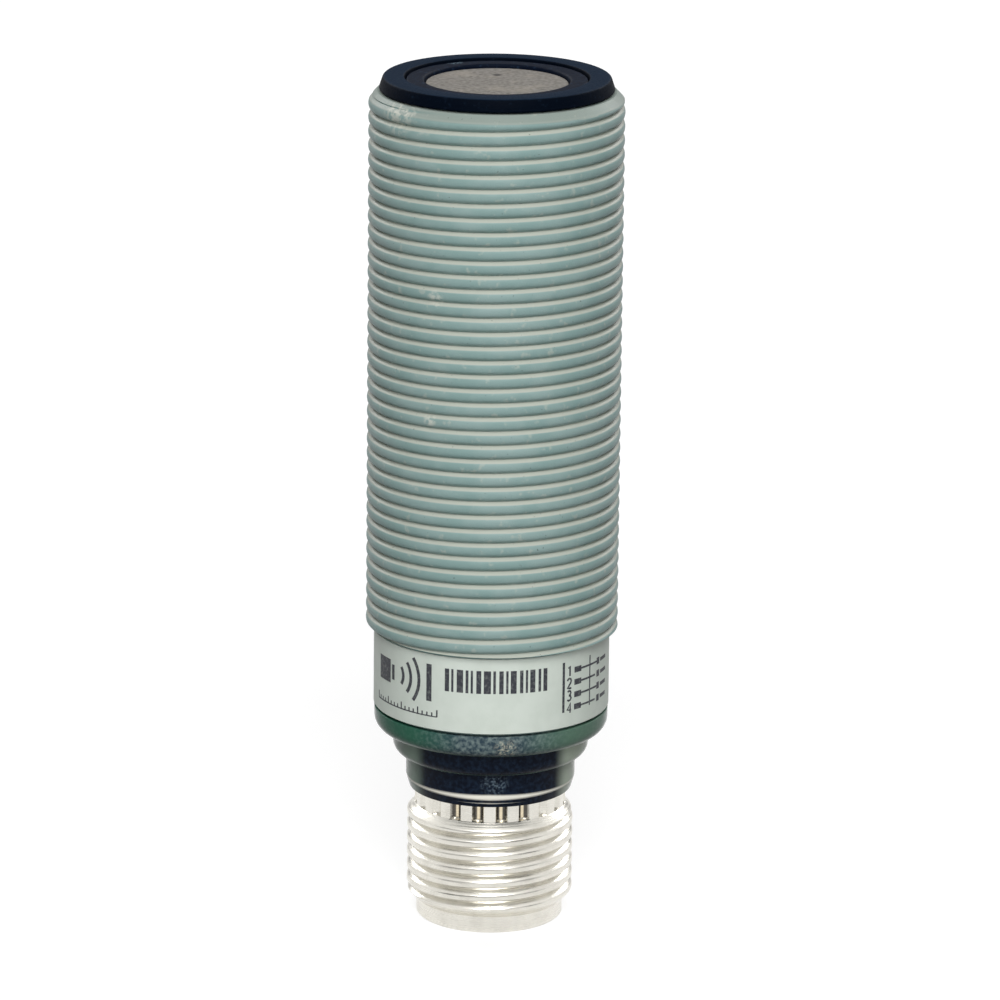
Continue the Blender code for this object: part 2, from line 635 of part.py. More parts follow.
def tabbed_regulator(name, size):
    """A power package: three legs along one side and a wide tab on the other."""
    return leaded_package(name, size, ((90, LEG_POWER_GROUP), (270, LEG_TAB_GROUP)))


def end_capped_chip(name, size):
    """A ceramic chip whose metal ends are a little thicker than its body."""
    body = package_body(name, size, END_CAP_THICKNESS, ("tan_ceramic", "A58C6B", 0.5))
    cap = (END_CAP_WIDTH, size[1] + 2 * END_CAP_THICKNESS, size[2] + 2 * END_CAP_THICKNESS, 1)
    out = size[0] / 2 + END_CAP_THICKNESS - END_CAP_WIDTH / 2
    fuse(body, end_pair(name + "_ends", cap, out))
    return body


def end_pair(name, size, out):
    """Two like blocks that stand on the board's face, one on each side of its middle."""
    bm = bmesh.new()
    for side in (-1, 1):
        place = Matrix.Translation((side * out, size[1] / 2, 0))
        bmesh.ops.create_cube(bm, size=1.0, matrix=place @ Matrix.Diagonal(size))
    return add_object(name, bm, None, smooth=False)


def tantalum_block(name, size):
    """A moulded capacitor, with a flat terminal folded down each end."""
    body = bevelled(package_body(name, size, 0, ("tantalum_case", "C98F2E", 0.5)))
    terminal = (TERMINAL_THICKNESS, TERMINAL_RISE, TERMINAL_WIDTH, 1)
    fuse(body, end_pair(name + "_terminals", terminal, size[0] / 2))
    return body


def crystal_can(name, size):
    """A ceramic base with a smaller metal lid on it."""
    base_size = (size[0], size[1] - LID_HEIGHT / 2, size[2])
    base = package_body(name, base_size, 0, ("nickel_can", "C9C9C4", 0.3, 1.0))
    lid_size = (size[0] - 2 * LID_INSET, LID_HEIGHT, size[2] - 2 * LID_INSET)
    fuse(base, bevelled(brick(name + "_lid", lid_size, None, (0, size[1] - LID_HEIGHT / 2, 0)), LID_BEVEL))
    return base


def drum_core(name, size):
    """A wound ferrite drum: a winding between two round flanges."""
    radius, height = size[0] / 2, size[1]
    outline = [
        (0, 0),
        (radius, 0),
        (radius, DRUM_FLANGE),
        (radius - DRUM_GROOVE, DRUM_FLANGE),
        (radius - DRUM_GROOVE, height - DRUM_FLANGE),
        (radius, height - DRUM_FLANGE),
        (radius, height),
        (0, height),
    ]
    drum = turned(name, outline, finish("ferrite", "2B2C2E", 0.5), DRUM_SIDES)
    drum.rotation_euler.x = math.radians(-90)
    return drum


# Parts on each face of the main board, from the front end down: name, form, size, and how far its
# legs or caps reach along the board past each end of that size
FRONT_FACE_PARTS = (
    ("drive_transformer", drum_core, DRUM_SIZE, 0),
    ("receive_amplifier", small_outline_chip, SMALL_OUTLINE_SIZE, 0),
    ("signal_processor", quad_flat_chip, QUAD_FLAT_SIZE, LEG_REACH),
    ("supply_capacitor", tantalum_block, TANTALUM_SIZE, 0),
)
BACK_FACE_PARTS = (
    ("thermistor", end_capped_chip, THERMISTOR_SIZE, END_CAP_THICKNESS),
    ("timing_crystal", crystal_can, CRYSTAL_SIZE, 0),
    ("filter_capacitor_upper", end_capped_chip, CAPACITOR_SIZE, END_CAP_THICKNESS),
    ("filter_capacitor_lower", end_capped_chip, CAPACITOR_SIZE, END_CAP_THICKNESS),
    ("voltage_regulator", tabbed_regulator, REGULATOR_SIZE, LEG_REACH),
    ("output_driver", small_outline_chip, SMALL_OUTLINE_SIZE, 0),
)


def make_board_parts():
    """Components on both faces of the main board, with equal spaces between them."""
    off_board = MAIN_BOARD_THICKNESS / 2 + SOLDER_GAP
    for parts, face, turn in ((FRONT_FACE_PARTS, -1, math.pi), (BACK_FACE_PARTS, 1, 0)):
        lengths = [size[2] + 2 * reach for _, _, size, reach in parts]
        space = (MAIN_BOARD_TOP - MAIN_BOARD_STEP - sum(lengths)) / (len(parts) + 1)
        top = MAIN_BOARD_TOP - space
        for (name, form, size, _), length in zip(parts, lengths):
            part = form(name, size)
            place = Matrix.Translation((0, face * off_board, top - length / 2))
            part.matrix_basis = place @ Matrix.Rotation(turn, 4, "Z") @ part.matrix_basis
            top -= length + space


def polar(radius, turn, height):
    """A point at a turn about Z."""
    return Vector((radius * math.cos(turn), radius * math.sin(turn), height))


def pin_holes(name, bottom, top):
    """Cutter for the four holes that the contact pins pass through."""
    bm = bmesh.new()
    for turn in PIN_TURNS:
        centre = polar(PIN_CIRCLE_RADIUS, turn, (bottom + top) / 2)
        bmesh.ops.create_cone(
            bm,
            cap_ends=True,
            segments=PIN_SIDES,
            radius1=PIN_HOLE_RADIUS,
            radius2=PIN_HOLE_RADIUS,
            depth=2 * (top - bottom),
            matrix=Matrix.Translation(centre),
        )
    return add_object(name, bm, None)


def make_terminal_board():
    """Terminal board: it carries the main board, the pins' tails and the status lamps."""
    outline = [
        (0, TERMINAL_BOARD_BOTTOM),
        (TERMINAL_BOARD_RADIUS, TERMINAL_BOARD_BOTTOM),
        (TERMINAL_BOARD_RADIUS, TERMINAL_BOARD_TOP),
        (0, TERMINAL_BOARD_TOP),
    ]
    board = turned("terminal_board", outline, finish("solder_mask_green", "1F5B35", 0.4))
    cut(board, pin_holes("terminal_hole_cutter", TERMINAL_BOARD_BOTTOM, TERMINAL_BOARD_TOP))
    width, depth, height = LAMP_SIZE
    outer_face = CAP_CAVITY_RADIUS - LAMP_WALL_GAP
    lamp_radius = math.sqrt(outer_face**2 - (width / 2) ** 2) - depth / 2
    lens = finish("clear_lamp_resin", "D9E6C8", 0.2)
    for number, turn in enumerate(LAMP_TURNS, start=1):
        centre = polar(lamp_radius, turn, TERMINAL_BOARD_TOP + SOLDER_GAP + height / 2)
        brick(f"status_lamp_{number}", (depth, width, height), lens, centre, turn)


def make_plug_shell():
    """Plug shell: turned brass with the M12 thread, and a fluted neck that the cap grips."""
    shell = threaded(
        "connector_shell",
        below=[
            (PLUG_BORE_RADIUS, PLUG_MOUTH_BEVEL),
            (PLUG_BORE_RADIUS + PLUG_MOUTH_BEVEL, 0),
            (PLUG_PILOT_RADIUS - PLUG_PILOT_BEVEL, 0),
            (PLUG_PILOT_RADIUS, PLUG_PILOT_BEVEL),
        ],
        above=[(PLUG_NECK_RADIUS, PLUG_TOP), (PLUG_BORE_RADIUS, PLUG_TOP)],
        material=finish("nickel_plated_brass", "D8D4C8", 0.25, 1.0),
        bottom=PLUG_THREAD_BOTTOM,
        top=PLUG_THREAD_TOP,
        crest=PLUG_THREAD_RADIUS,
        depth=PLUG_THREAD_DEPTH,
        crest_width=PLUG_CREST_WIDTH,
        groove_height=PLUG_GROOVE_HEIGHT,
        ends=((PLUG_PILOT_RADIUS, PLUG_PILOT_STEP), (PLUG_NECK_RADIUS, PLUG_NECK_STEP)),
    )
    bm = bmesh.new()
    for flute in range(FLUTES):
        turn = 2 * math.pi * (flute + 0.5) / FLUTES
        middle = polar(PLUG_NECK_RADIUS, turn, PLUG_THREAD_TOP + FLUTE_LENGTH / 2)
        place = Matrix.Translation(middle) @ Matrix.Rotation(turn, 4, "Z")
        size = Matrix.Diagonal((2 * FLUTE_DEPTH, FLUTE_WIDTH, FLUTE_LENGTH, 1))
        bmesh.ops.create_cube(bm, size=1.0, matrix=place @ size)
    cut(shell, add_object("flute_cutter", bm, None, smooth=False))


def make_contacts():
    """Insulator with its key, and the four contact pins."""
    bottom, top = SOCKET_DEPTH, CARRIER_TOP
    outline = [(0, bottom), (CARRIER_RADIUS, bottom), (CARRIER_RADIUS, top), (0, top)]
    carrier = turned("contact_carrier", outline, finish("black_polyamide", "1A1C20", 0.5))
    key_size = (KEY_HEIGHT, KEY_WIDTH, (bottom + top) / 2 - KEY_SETBACK)
    key_radius = CARRIER_RADIUS - FIT_GAP - KEY_HEIGHT / 2
    key_middle = polar(key_radius, KEY_TURN, KEY_SETBACK + key_size[2] / 2)
    cut(carrier, brick("key_tool", key_size, None, key_middle, KEY_TURN), "UNION")
    cut(carrier, pin_holes("carrier_hole_cutter", bottom, top))
    gold = finish("gold_plated_pin", "D8A94A", 0.25, 1.0)
    tail = TERMINAL_BOARD_TOP + PIN_TAIL_LENGTH
    pin = [
        (0, PIN_SETBACK),
        (PIN_TIP_RADIUS, PIN_SETBACK),
        (PIN_RADIUS, PIN_SETBACK + PIN_TIP_LENGTH),
        (PIN_RADIUS, tail),
        (0, tail),
    ]
    for number, turn in enumerate(PIN_TURNS, start=1):
        turned(f"contact_pin_{number}", pin, gold, PIN_SIDES).location = polar(PIN_CIRCLE_RADIUS, turn, 0)


def main():
    clear_scene()
    make_barrel()
    make_label()
    make_rear_cap()
    make_front_cap()
    make_seal_rings()
    make_transducer()
    make_main_board()
    make_board_parts()
    make_terminal_board()
    make_plug_shell()
    make_contacts()


main()
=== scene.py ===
"""Looks of the ultrasonic distance sensor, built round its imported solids.

Lengths in this file are in millimetres unless a name or a comment says otherwise, and mesh points
turn to metres as they are made. +Z runs from the plug to the sensing face, and -Y is the front.
"""

import math

import bmesh
import bpy
from bpy.props import FloatProperty, FloatVectorProperty, IntProperty, PointerProperty
from bpy.types import Operator, Panel, PropertyGroup
from mathutils import Matrix, Vector


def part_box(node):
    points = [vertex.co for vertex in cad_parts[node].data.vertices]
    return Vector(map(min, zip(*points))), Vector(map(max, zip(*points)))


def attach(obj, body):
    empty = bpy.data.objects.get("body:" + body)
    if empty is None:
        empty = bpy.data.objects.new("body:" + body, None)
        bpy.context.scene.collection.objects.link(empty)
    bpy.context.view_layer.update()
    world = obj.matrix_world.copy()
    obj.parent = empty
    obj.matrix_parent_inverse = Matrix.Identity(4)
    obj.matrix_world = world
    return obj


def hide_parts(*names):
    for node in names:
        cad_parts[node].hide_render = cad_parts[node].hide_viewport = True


bl_info = {
    "name": "Ultrasonic Sensor Looks",
    "version": (1, 0, 0),
    "blender": (4, 5, 0),
    "location": "3D View > Sidebar > Sensor",
    "description": "Detailed pieces and finishes of a threaded ultrasonic distance sensor",
    "category": "Object",
}

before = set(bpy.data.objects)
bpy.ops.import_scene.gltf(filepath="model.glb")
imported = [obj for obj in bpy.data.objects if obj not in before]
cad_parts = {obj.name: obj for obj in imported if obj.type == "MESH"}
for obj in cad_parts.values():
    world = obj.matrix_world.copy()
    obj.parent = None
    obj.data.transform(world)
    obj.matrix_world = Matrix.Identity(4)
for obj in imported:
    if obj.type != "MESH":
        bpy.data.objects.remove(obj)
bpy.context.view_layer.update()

MM = 0.001
WHITE = (1.0, 1.0, 1.0)
BLACK = (0.0, 0.0, 0.0)

# Sides of a wide round piece, of a narrow one and of one flute, the angle over which an edge is sharp,
# and how close two points of a mesh are, in metres, when they are one
ROUND_SIDES = 144
SMALL_SIDES = 40
SIDES_PER_FLUTE = 16
SHARP_ANGLE = math.radians(34)
JOIN_DISTANCE = 1e-7

# Fit between neighbours, thickness of the sealing rings, and the small pieces
FIT_GAP = 0.1
SEAL_CORD = 0.6
FLUTES = 20
PIN_CIRCLE = 2.5
PIN_RADIUS = 0.5
PIN_TURNS = (45, 135, 225, 315)
LEG_REACH = 1.05

# Camera: the point that it looks at, its lens and the width of its film
AIM = Vector((0.494, 0.0, 30.41)) * MM
LENS = 230.32
FILM_WIDTH = 36.0

# Dim parts of the surroundings, which mirror rays alone see: the way to each one's middle, where it
# starts and where it is full, in degrees from that middle, and its grey
DIM_PATCHES = (
    ((0.0, -1.0, 0.12), 22, 11, 0.25),
    ((-0.47, -0.88, 0.12), 22, 11, 0.04),
    ((0.47, -0.88, 0.12), 22, 11, 0.04),
    ((-0.83, -0.56, 0.12), 22, 11, 0.12),
    ((0.83, -0.56, 0.12), 22, 11, 0.12),
    ((0.0, 0.96, 0.27), 42, 24, 0.25),
)

# Marks in single places: the middle of each one and how far it reaches. The scuffed places are wear,
# the disc's speck is a dark mark, the ring's spot and the rear cap's upper spot are painted highlights,
# and its lower spot is a pale mark. A place with no height lies on the top of its piece
SCUFFED_PLACES = (((-6.8, -5.7, 59.4), 1.9), ((-4.1, -7.9, 46.8), 0.7), ((-4.4, -7.7, 38.2), 0.6))
RING_HIGHLIGHT_SPOT = ((-3.05, 5.5), 0.7)
DISC_SPECK = ((0.0, 2.5), 0.42)
UPPER_HIGHLIGHT_SPOT = ((1.1, -8.2, 14.6), 0.95)
LOWER_PALE_SPOT = ((0.3, -5.9, 11.3), 1.1)

# Bars of the label and the spaces after them, in turn
BAR_WIDTHS = (0.32, 0.16, 0.46, 0.2, 0.16, 0.34, 0.5, 0.18, 0.3, 0.16, 0.42, 0.24, 0.16, 0.38, 0.2, 0.3)
BAR_SPACES = (0.16, 0.24, 0.18)


def span(node):
    """Lowest and highest point of a node, in millimetres along Z."""
    low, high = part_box(node)
    return low.z / MM, high.z / MM


def reach(node):
    """Largest distance of a round node's wall from the Z axis, in millimetres."""
    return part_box(node)[1].x / MM


def linear(hex_colour):
    """Linear red, green and blue of an sRGB hex colour."""
    channels = [int(hex_colour[at:at + 2], 16) / 255 for at in (0, 2, 4)]
    return tuple(c / 12.92 if c <= 0.04045 else ((c + 0.055) / 1.055) ** 2.4 for c in channels)


def length(name, description, value):
    """A length in millimetres that a user may change."""
    return FloatProperty(name=name, description=description, default=value, min=0.0, precision=3)


def fraction(name, description, value):
    """A share from 0 to 1 that a user may change."""
    return FloatProperty(name=name, description=description, default=value, min=0.0, max=1.0)


def lamp_power(name, description, value):
    """A lamp's power in watts that a user may change."""
    return FloatProperty(name=name, description=description, default=value, min=0.0, unit="POWER")


def angle(name, description, degrees):
    """An angle that a user may change."""
    value = math.radians(degrees)
    return FloatProperty(name=name, description=description, default=value, subtype="ANGLE", unit="ROTATION")


def colour(name, description, hex_colour):
    """A colour that a user may change."""
    shade = linear(hex_colour)
    return FloatVectorProperty(
        name=name, description=description, default=shade, subtype="COLOR", size=3, min=0.0, max=1.0
    )


class SensorThreads(PropertyGroup):
    """Sizes of the two threads, in millimetres."""

    pitch: length("Pitch", "Rise of both threads in one turn", 1.0)
    barrel_depth: length("Barrel groove depth", "Depth of the barrel's grooves", 0.39)
    barrel_crest: length("Barrel crest width", "Width of the barrel's rounded crests", 0.56)
    barrel_groove: length("Barrel groove height", "Height of a groove's middle at +X", 0.9)
    plug_depth: length("Plug groove depth", "Depth of the plug's grooves", 0.38)
    plug_crest: length("Plug crest width", "Width of the plug's crests", 0.3)
    plug_groove: length("Plug groove height", "Height of a groove's middle at +X", 0.58)
    barrel_bulge: fraction("Barrel crest bulge", "How round the barrel's crests are", 0.5)
    plug_bulge: fraction("Plug crest bulge", "How round the plug's crests are", 0.16)
    samples: IntProperty(
        name="Rows in a pitch", description="Mesh rows that draw one ridge", default=12, min=6
    )


class SensorWalls(PropertyGroup):
    """Sizes of the housing's walls and steps, in millimetres."""

    seat_step: length("Label seat step", "From the barrel's crests in to the label's seat", 0.72)
    seat_length: length("Label seat length", "Length of the barrel's plain end", 5.7)
    seat_shoulder: length("Label seat shoulder", "Rise from the label's seat to the first crest", 0.15)
    barrel_wall: length("Barrel wall", "Wall of the barrel at the label's seat", 0.88)
    mouth_bevel: length("Mouth bevel", "Chamfer of the barrel's crests at its mouth", 0.6)
    label_thickness: length("Label thickness", "Thickness of the label film", 0.1)
    label_seam: length("Label seam", "Space between the label's ends at the back", 0.8)
    ink_thickness: length("Ink thickness", "Height of the print over the label film", 0.012)
    plug_bore: length("Plug bore", "Radius of the plug's bore", 4.35)
    pilot_radius: length("Pilot radius", "Radius of the plug's plain end", 5.2)
    neck_radius: length("Neck radius", "Radius of the plug's fluted neck", 5.35)
    pilot_length: length("Pilot length", "Length of the plug's plain end", 1.2)
    plug_thread: length("Plug thread length", "Length of the plug's thread", 7.1)
    flute_length: length("Flute length", "Length of the grooves in the plug's neck", 4.2)
    cap_middle: length("Middle step height", "Height of the rear cap's middle step", 1.8)
    cap_upper: length("Upper step height", "Height of the rear cap's upper step", 1.7)
    flute_width: length("Flute width", "Width of a groove in the plug's neck", 0.8)
    flute_depth: length("Flute depth", "Depth of a groove in the plug's neck", 0.35)


class SensorColours(PropertyGroup):
    """Colours of the finishes."""

    barrel: colour("Barrel", "Grey-green moulded polyester", "7F9996")
    # Colour of the flanks that face up: dust, and a painted highlight of the light from above
    flank_dust_and_highlight: colour("Barrel flanks", "Dusty flanks of the thread that face up", "B8BBB0")
    label: colour("Label", "Pale grey film", "CCD5CC")
    ink: colour("Ink", "Print on the label", "3B3C42")
    front_cap: colour("Front cap", "Black plastic with a blue cast", "030812")
    cap_dust: colour("Cap dust", "Dust on the front cap and the soft ring", "2B4059")
    ring: colour("Ring", "Slate silicone round the sensing disc", "050D1C")
    disc: colour("Disc", "Beige-grey filled epoxy", "7E7A74")
    rear_cap: colour("Rear cap", "Smoked plastic of the lower steps", "060D1B")
    # Painted light: green light from the board, seen through the rear cap's thin wall
    rear_cap_painted_light: colour("Rear cap glow", "Smoked plastic where it is thin", "2A5F4A")
    nickel: colour("Nickel", "Plating of the plug", "E2DFD6")
    gold: colour("Gold", "Plating of the contacts", "E0B45A")
    board: colour("Board", "Solder mask of the boards", "1E5A38")


class SensorStage(PropertyGroup):
    """Light, floor and camera."""

    key_power: lamp_power("Key lamp", "Power of the key lamp", 4.0)
    fill_power: lamp_power("Low front lamp", "Power of the low lamp in front", 2.1)
    back_power: lamp_power("Back lamps", "Power of each lamp behind", 2.8)
    sky_strength: fraction("Sky", "Strength of the sky's diffuse light", 0.05)
    floor_glow: fraction("Floor glow", "Light of the floor's own, as seen", 0.72)
    floor_shadow: fraction("Floor shadow", "How strongly the floor shows shadow", 0.36)
    floor_bounce: fraction("Floor bounce", "Share of light the floor throws back", 0.06)
    camera_elevation: angle("Camera elevation", "Angle of the view above level", 15.5)
    camera_roll: angle("Camera roll", "Turn of the camera about its own axis", 0.597)
    camera_distance: FloatProperty(
        name="Camera distance",
        description="From the aim point to the camera",
        default=0.45,
        subtype="DISTANCE",
        unit="LENGTH",
    )


def add(tree, kind, inputs=None, output=0, **settings):
    """Add a shader node with its settings, set or link its inputs, and give one of its outputs."""
    node = tree.nodes.new(kind)
    for key, value in settings.items():
        setattr(node, key, value)
    for key, value in (inputs or {}).items():
        socket = node.inputs[key]
        if isinstance(value, bpy.types.NodeSocket):
            tree.links.new(value, socket)
        else:
            socket.default_value = (*value, 1.0) if socket.type == "RGBA" else value
    return node.outputs[output] if node.outputs else None


def mixed(shade, other, share):
    """A colour part of the way from one to another."""
    return tuple(a + (b - a) * share for a, b in zip(shade, other))


def begin_finish(name):
    """A new material, its empty node tree, and the object's coordinates in millimetres."""
    material = bpy.data.materials.new(name)
    material.use_nodes = True
    tree = material.node_tree
    tree.nodes.clear()
    place = add(tree, "ShaderNodeTexCoord", output="Object")
    in_mm = add(tree, "ShaderNodeVectorMath", {0: place, "Scale": 1 / MM}, operation="SCALE")
    return material, tree, in_mm


def end_finish(material, shade, sockets):
    """Close a material with its shader. The plain shade is what the viewport shows."""
    shader = add(material.node_tree, "ShaderNodeBsdfPrincipled", sockets)
    add(material.node_tree, "ShaderNodeOutputMaterial", {"Surface": shader})
    material.diffuse_color = (*shade, 1.0)
    return material


def patches(tree, place, size, thin, thick, detail=3.0):
    """Cloudy patches that many millimetres wide: 0 where the cloud is under thin, 1 over thick."""
    cloud = add(tree, "ShaderNodeTexNoise", {"Vector": place, "Scale": 1 / size, "Detail": detail})
    return add(tree, "ShaderNodeMapRange", {0: cloud, 1: thin, 2: thick}, interpolation_type="SMOOTHSTEP")


def laid_over(tree, under, over, share, strength=1.0):
    """A colour with another laid over it, as thickly as the share and the strength say."""
    cover = add(tree, "ShaderNodeMath", {0: share, 1: strength}, operation="MULTIPLY")
    return add(tree, "ShaderNodeMix", {0: cover, 6: under, 7: over}, output=2, data_type="RGBA")


def stretched(tree, place, scale):
    """Coordinates scaled along X, Y and Z, so that a pattern runs in lines or layers."""
    return add(tree, "ShaderNodeVectorMath", {0: place, 1: scale}, operation="MULTIPLY")


def facing_up(tree, low, high):
    """0 where the surface's upward lean is under low, 1 where it is over high: for dust and for painted
    light.
    """
    normal = add(tree, "ShaderNodeNewGeometry", output="Normal")
    lean = add(tree, "ShaderNodeSeparateXYZ", {0: normal}, output="Z")
    return add(tree, "ShaderNodeMapRange", {0: lean, 1: low, 2: high}, interpolation_type="SMOOTHSTEP")


def spot(tree, place, middle, size):
    """1 at a point of the object, falling to 0 that many millimetres away from it."""
    away = add(tree, "ShaderNodeVectorMath", {0: place, 1: middle}, output="Value", operation="DISTANCE")
    return add(tree, "ShaderNodeMapRange", {0: away, 1: size * 0.4, 2: size, 3: 1.0, 4: 0.0})


def both_of(tree, one, other):
    """The share where two patterns meet."""
    return add(tree, "ShaderNodeMath", {0: one, 1: other}, operation="MULTIPLY")


def off_centre(tree, place):
    """How far to the left or the right of the middle a point lies."""
    across = add(tree, "ShaderNodeSeparateXYZ", {0: place}, output="X")
    return add(tree, "ShaderNodeMath", {0: across}, operation="ABSOLUTE")


def line_round(tree, place, level, core, edge, fading=0.0):
    """A level line round the object: 1 inside its core and 0 past its edge, and thinner as it fades."""
    height = add(tree, "ShaderNodeSeparateXYZ", {0: place}, output="Z")
    above = add(tree, "ShaderNodeMath", {0: height, 1: level}, operation="SUBTRACT")
    away = add(tree, "ShaderNodeMath", {0: above}, operation="ABSOLUTE")
    faded = add(tree, "ShaderNodeMath", {0: away, 1: fading}, operation="ADD")
    return add(tree, "ShaderNodeMapRange", {0: faded, 1: core, 2: edge, 3: 1.0, 4: 0.0})


def rounded(outline, steps=4):
    """Turn each (x, y, corner) of a closed outline into the points of an arc of that radius."""
    points = []
    for index, (x, y, corner) in enumerate(outline):
        here = Vector((x, y))
        back = (Vector(outline[index - 1][:2]) - here).normalized()
        ahead = (Vector(outline[(index + 1) % len(outline)][:2]) - here).normalized()
        half = back.angle(ahead) / 2
        if corner <= 0:
            points.append((x, y))
            continue
        centre = here + (back + ahead).normalized() * corner / math.sin(half)
        start = here + back * corner / math.tan(half) - centre
        end = here + ahead * corner / math.tan(half) - centre
        first = math.atan2(start.y, start.x)
        sweep = (math.atan2(end.y, end.x) - first + math.pi) % (2 * math.pi) - math.pi
        for step in range(steps + 1):
            turn = first + sweep * step / steps
            points.append((centre.x + corner * math.cos(turn), centre.y + corner * math.sin(turn)))
    return points


def closed_object(name, points, faces):
    """A mesh object from points in millimetres, its doubled points joined and its faces turned out."""
    mesh = bpy.data.meshes.new(name)
    mesh.from_pydata([Vector(point) * MM for point in points], [], faces)
    bm = bmesh.new()
    bm.from_mesh(mesh)
    bmesh.ops.remove_doubles(bm, verts=bm.verts, dist=JOIN_DISTANCE)
    bmesh.ops.recalc_face_normals(bm, faces=bm.faces)
    bm.to_mesh(mesh)
    bm.free()
    made = bpy.data.objects.new(name, mesh)
    bpy.context.scene.collection.objects.link(made)
    return made


def smooth(mesh):
    """Shade a mesh smooth, apart from its sharp edges."""
    mesh.shade_smooth()
    mesh.set_sharp_from_angle(angle=SHARP_ANGLE)


def piece_from(name, points, faces, material, replaced=()):
    """Make a closed piece from points in millimetres, and tie it to the frame."""
    piece = closed_object(name, points, faces)
    smooth(piece.data)
    piece.data.materials.append(material)
    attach(piece, "root")
    if replaced:
        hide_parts(*replaced)
    return piece


def lathe(outline, sides=ROUND_SIDES, centre=(0.0, 0.0)):
    """Points and faces of a closed (radius, height) outline spun about an upright axis."""
    points, rings, faces = [], [], []
    for radius, height in outline:
        turns = [2 * math.pi * side / sides for side in range(sides if radius > 0 else 1)]
        rings.append([len(points) + (side if radius > 0 else 0) for side in range(sides)])
        for turn in turns:
            x = centre[0] + radius * math.cos(turn)
            points.append((x, centre[1] + radius * math.sin(turn), height))
    for lower, upper in zip(rings, rings[1:] + rings[:1]):
        for side in range(sides):
            after = (side + 1) % sides
            face = list(dict.fromkeys((lower[side], lower[after], upper[after], upper[side])))
            if len(face) > 2:
                faces.append(face)
    return points, faces


def ridge_dip(share, thread):
    """How deep a ridge has fallen below its crest, from 0 to 1, at a share of the way to the groove."""
    flat, bulge = thread["crest_width"] / thread["pitch"], thread["bulge"]
    slope = max(0.0, (share - flat) / (1 - flat))
    return bulge * share**2 + (1 - bulge) * slope**1.25


def soft_lowest(values, blur=0.03):
    """The lowest of some numbers, eased a little where two of them meet."""
    lowest = min(values)
    return lowest - blur * math.log(sum(math.exp((lowest - value) / blur) for value in values))


def threaded_body(thread, below, above, sides):
    """Points and faces of a turned body with a true helical thread between two heights.

    Its rows climb with the thread, so that each ridge keeps its section all the way round. The last
    side joins the first one a whole pitch higher up. A chamfer is a radius at an end of the thread,
    from which the crests rise at 45 degrees.
    """
    pitch, samples = thread["pitch"], thread["samples"]
    bottom, top, groove = thread["bottom"], thread["top"], thread["groove"]
    first = math.floor((bottom - groove) / pitch * samples) - samples
    last = math.ceil((top - groove) / pitch * samples) + 1
    points, columns = [], []
    for side in range(sides):
        turn = side / sides
        around = 2 * math.pi * turn
        column = []
        for row in range(first, last + 1):
            height = min(max(groove + (row / samples + turn) * pitch, bottom), top)
            off = (height - groove) / pitch - turn
            share = abs(2 * (off % 1.0) - 1)
            radii = [thread["crest"] - thread["depth"] * ridge_dip(share, thread)]
            if thread["bottom_chamfer"]:
                radii.append(thread["bottom_chamfer"] + height - bottom)
            if thread["top_chamfer"]:
                radii.append(thread["top_chamfer"] + top - height)
            column.append((soft_lowest(radii), height))
        columns.append(list(range(len(points), len(points) + len(below) + len(column) + len(above))))
        for radius, height in below + column + above:
            points.append((radius * math.cos(around), radius * math.sin(around), height))
    faces = []
    thread_start, thread_end = len(below), len(below) + last - first
    count = len(columns[0])
    for side in range(sides):
        here, after = columns[side], columns[(side + 1) % sides]
        lift = samples if side == sides - 1 else 0

        def partner(row):
            inside = thread_start <= row <= thread_end
            return after[min(row + lift, thread_end)] if inside else after[row]

        for row in range(count):
            up = (row + 1) % count
            faces.append((here[row], partner(row), partner(up), here[up]))
    return points, faces


def moulded_polyester(colours):
    """PBT of the barrel, injection moulded.

    The mould leaves a satin skin with a 0.1 mm grain. The flanks that face up are creamier, from dust
    and a painted highlight of the light from above, a few dark specks of 0.2 mm sit in the skin, and
    the chamfer at the mouth is painted darker as painted shade.
    """
    material, tree, place = begin_finish("moulded_pbt_barrel")
    clouds = patches(tree, place, 2.6, 0.35, 0.65)
    skin = laid_over(tree, colours.barrel, mixed(colours.barrel, WHITE, 0.05), clouds)
    # Painted highlight with dust: flanks that face up get a creamier colour laid over them
    skin = laid_over(tree, skin, colours.flank_dust_and_highlight, facing_up(tree, 0.42, 0.72), 0.9)
    # Painted shade: the chamfer at the mouth, where it faces up, gets a darker colour laid over it
    mouth = span("threaded_housing")[1]
    height = add(tree, "ShaderNodeSeparateXYZ", {0: place}, output="Z")
    near_mouth = add(tree, "ShaderNodeMapRange", {0: height, 1: mouth - 0.9, 2: mouth - 0.4})
    chamfer = both_of(tree, near_mouth, facing_up(tree, 0.3, 0.6))
    skin = laid_over(tree, skin, mixed(colours.barrel, BLACK, 0.4), chamfer, 0.6)
    scuffs = patches(tree, place, 0.7, 0.60, 0.72, 5.0)
    skin = laid_over(tree, skin, colours.flank_dust_and_highlight, scuffs, 0.35)
    for middle, size in SCUFFED_PLACES:
        rubbed = both_of(tree, spot(tree, place, middle, size), patches(tree, place, 0.35, 0.42, 0.6, 5.0))
        skin = laid_over(tree, skin, linear("DAD8CB"), rubbed, 0.5)
    specks = patches(tree, place, 0.2, 0.76, 0.79, 1.0)
    skin = laid_over(tree, skin, linear("46524E"), specks, 0.6)
    grain = patches(tree, place, 0.1, 0.2, 0.8, 2.0)
    rough = add(tree, "ShaderNodeMapRange", {0: grain, 3: 0.40, 4: 0.50})
    bump = add(tree, "ShaderNodeBump", {"Height": grain, "Distance": 0.006 * MM})
    sockets = {"Base Color": skin, "Roughness": rough, "Specular IOR Level": 0.2, "Normal": bump}
    return end_finish(material, colours.barrel, sockets)


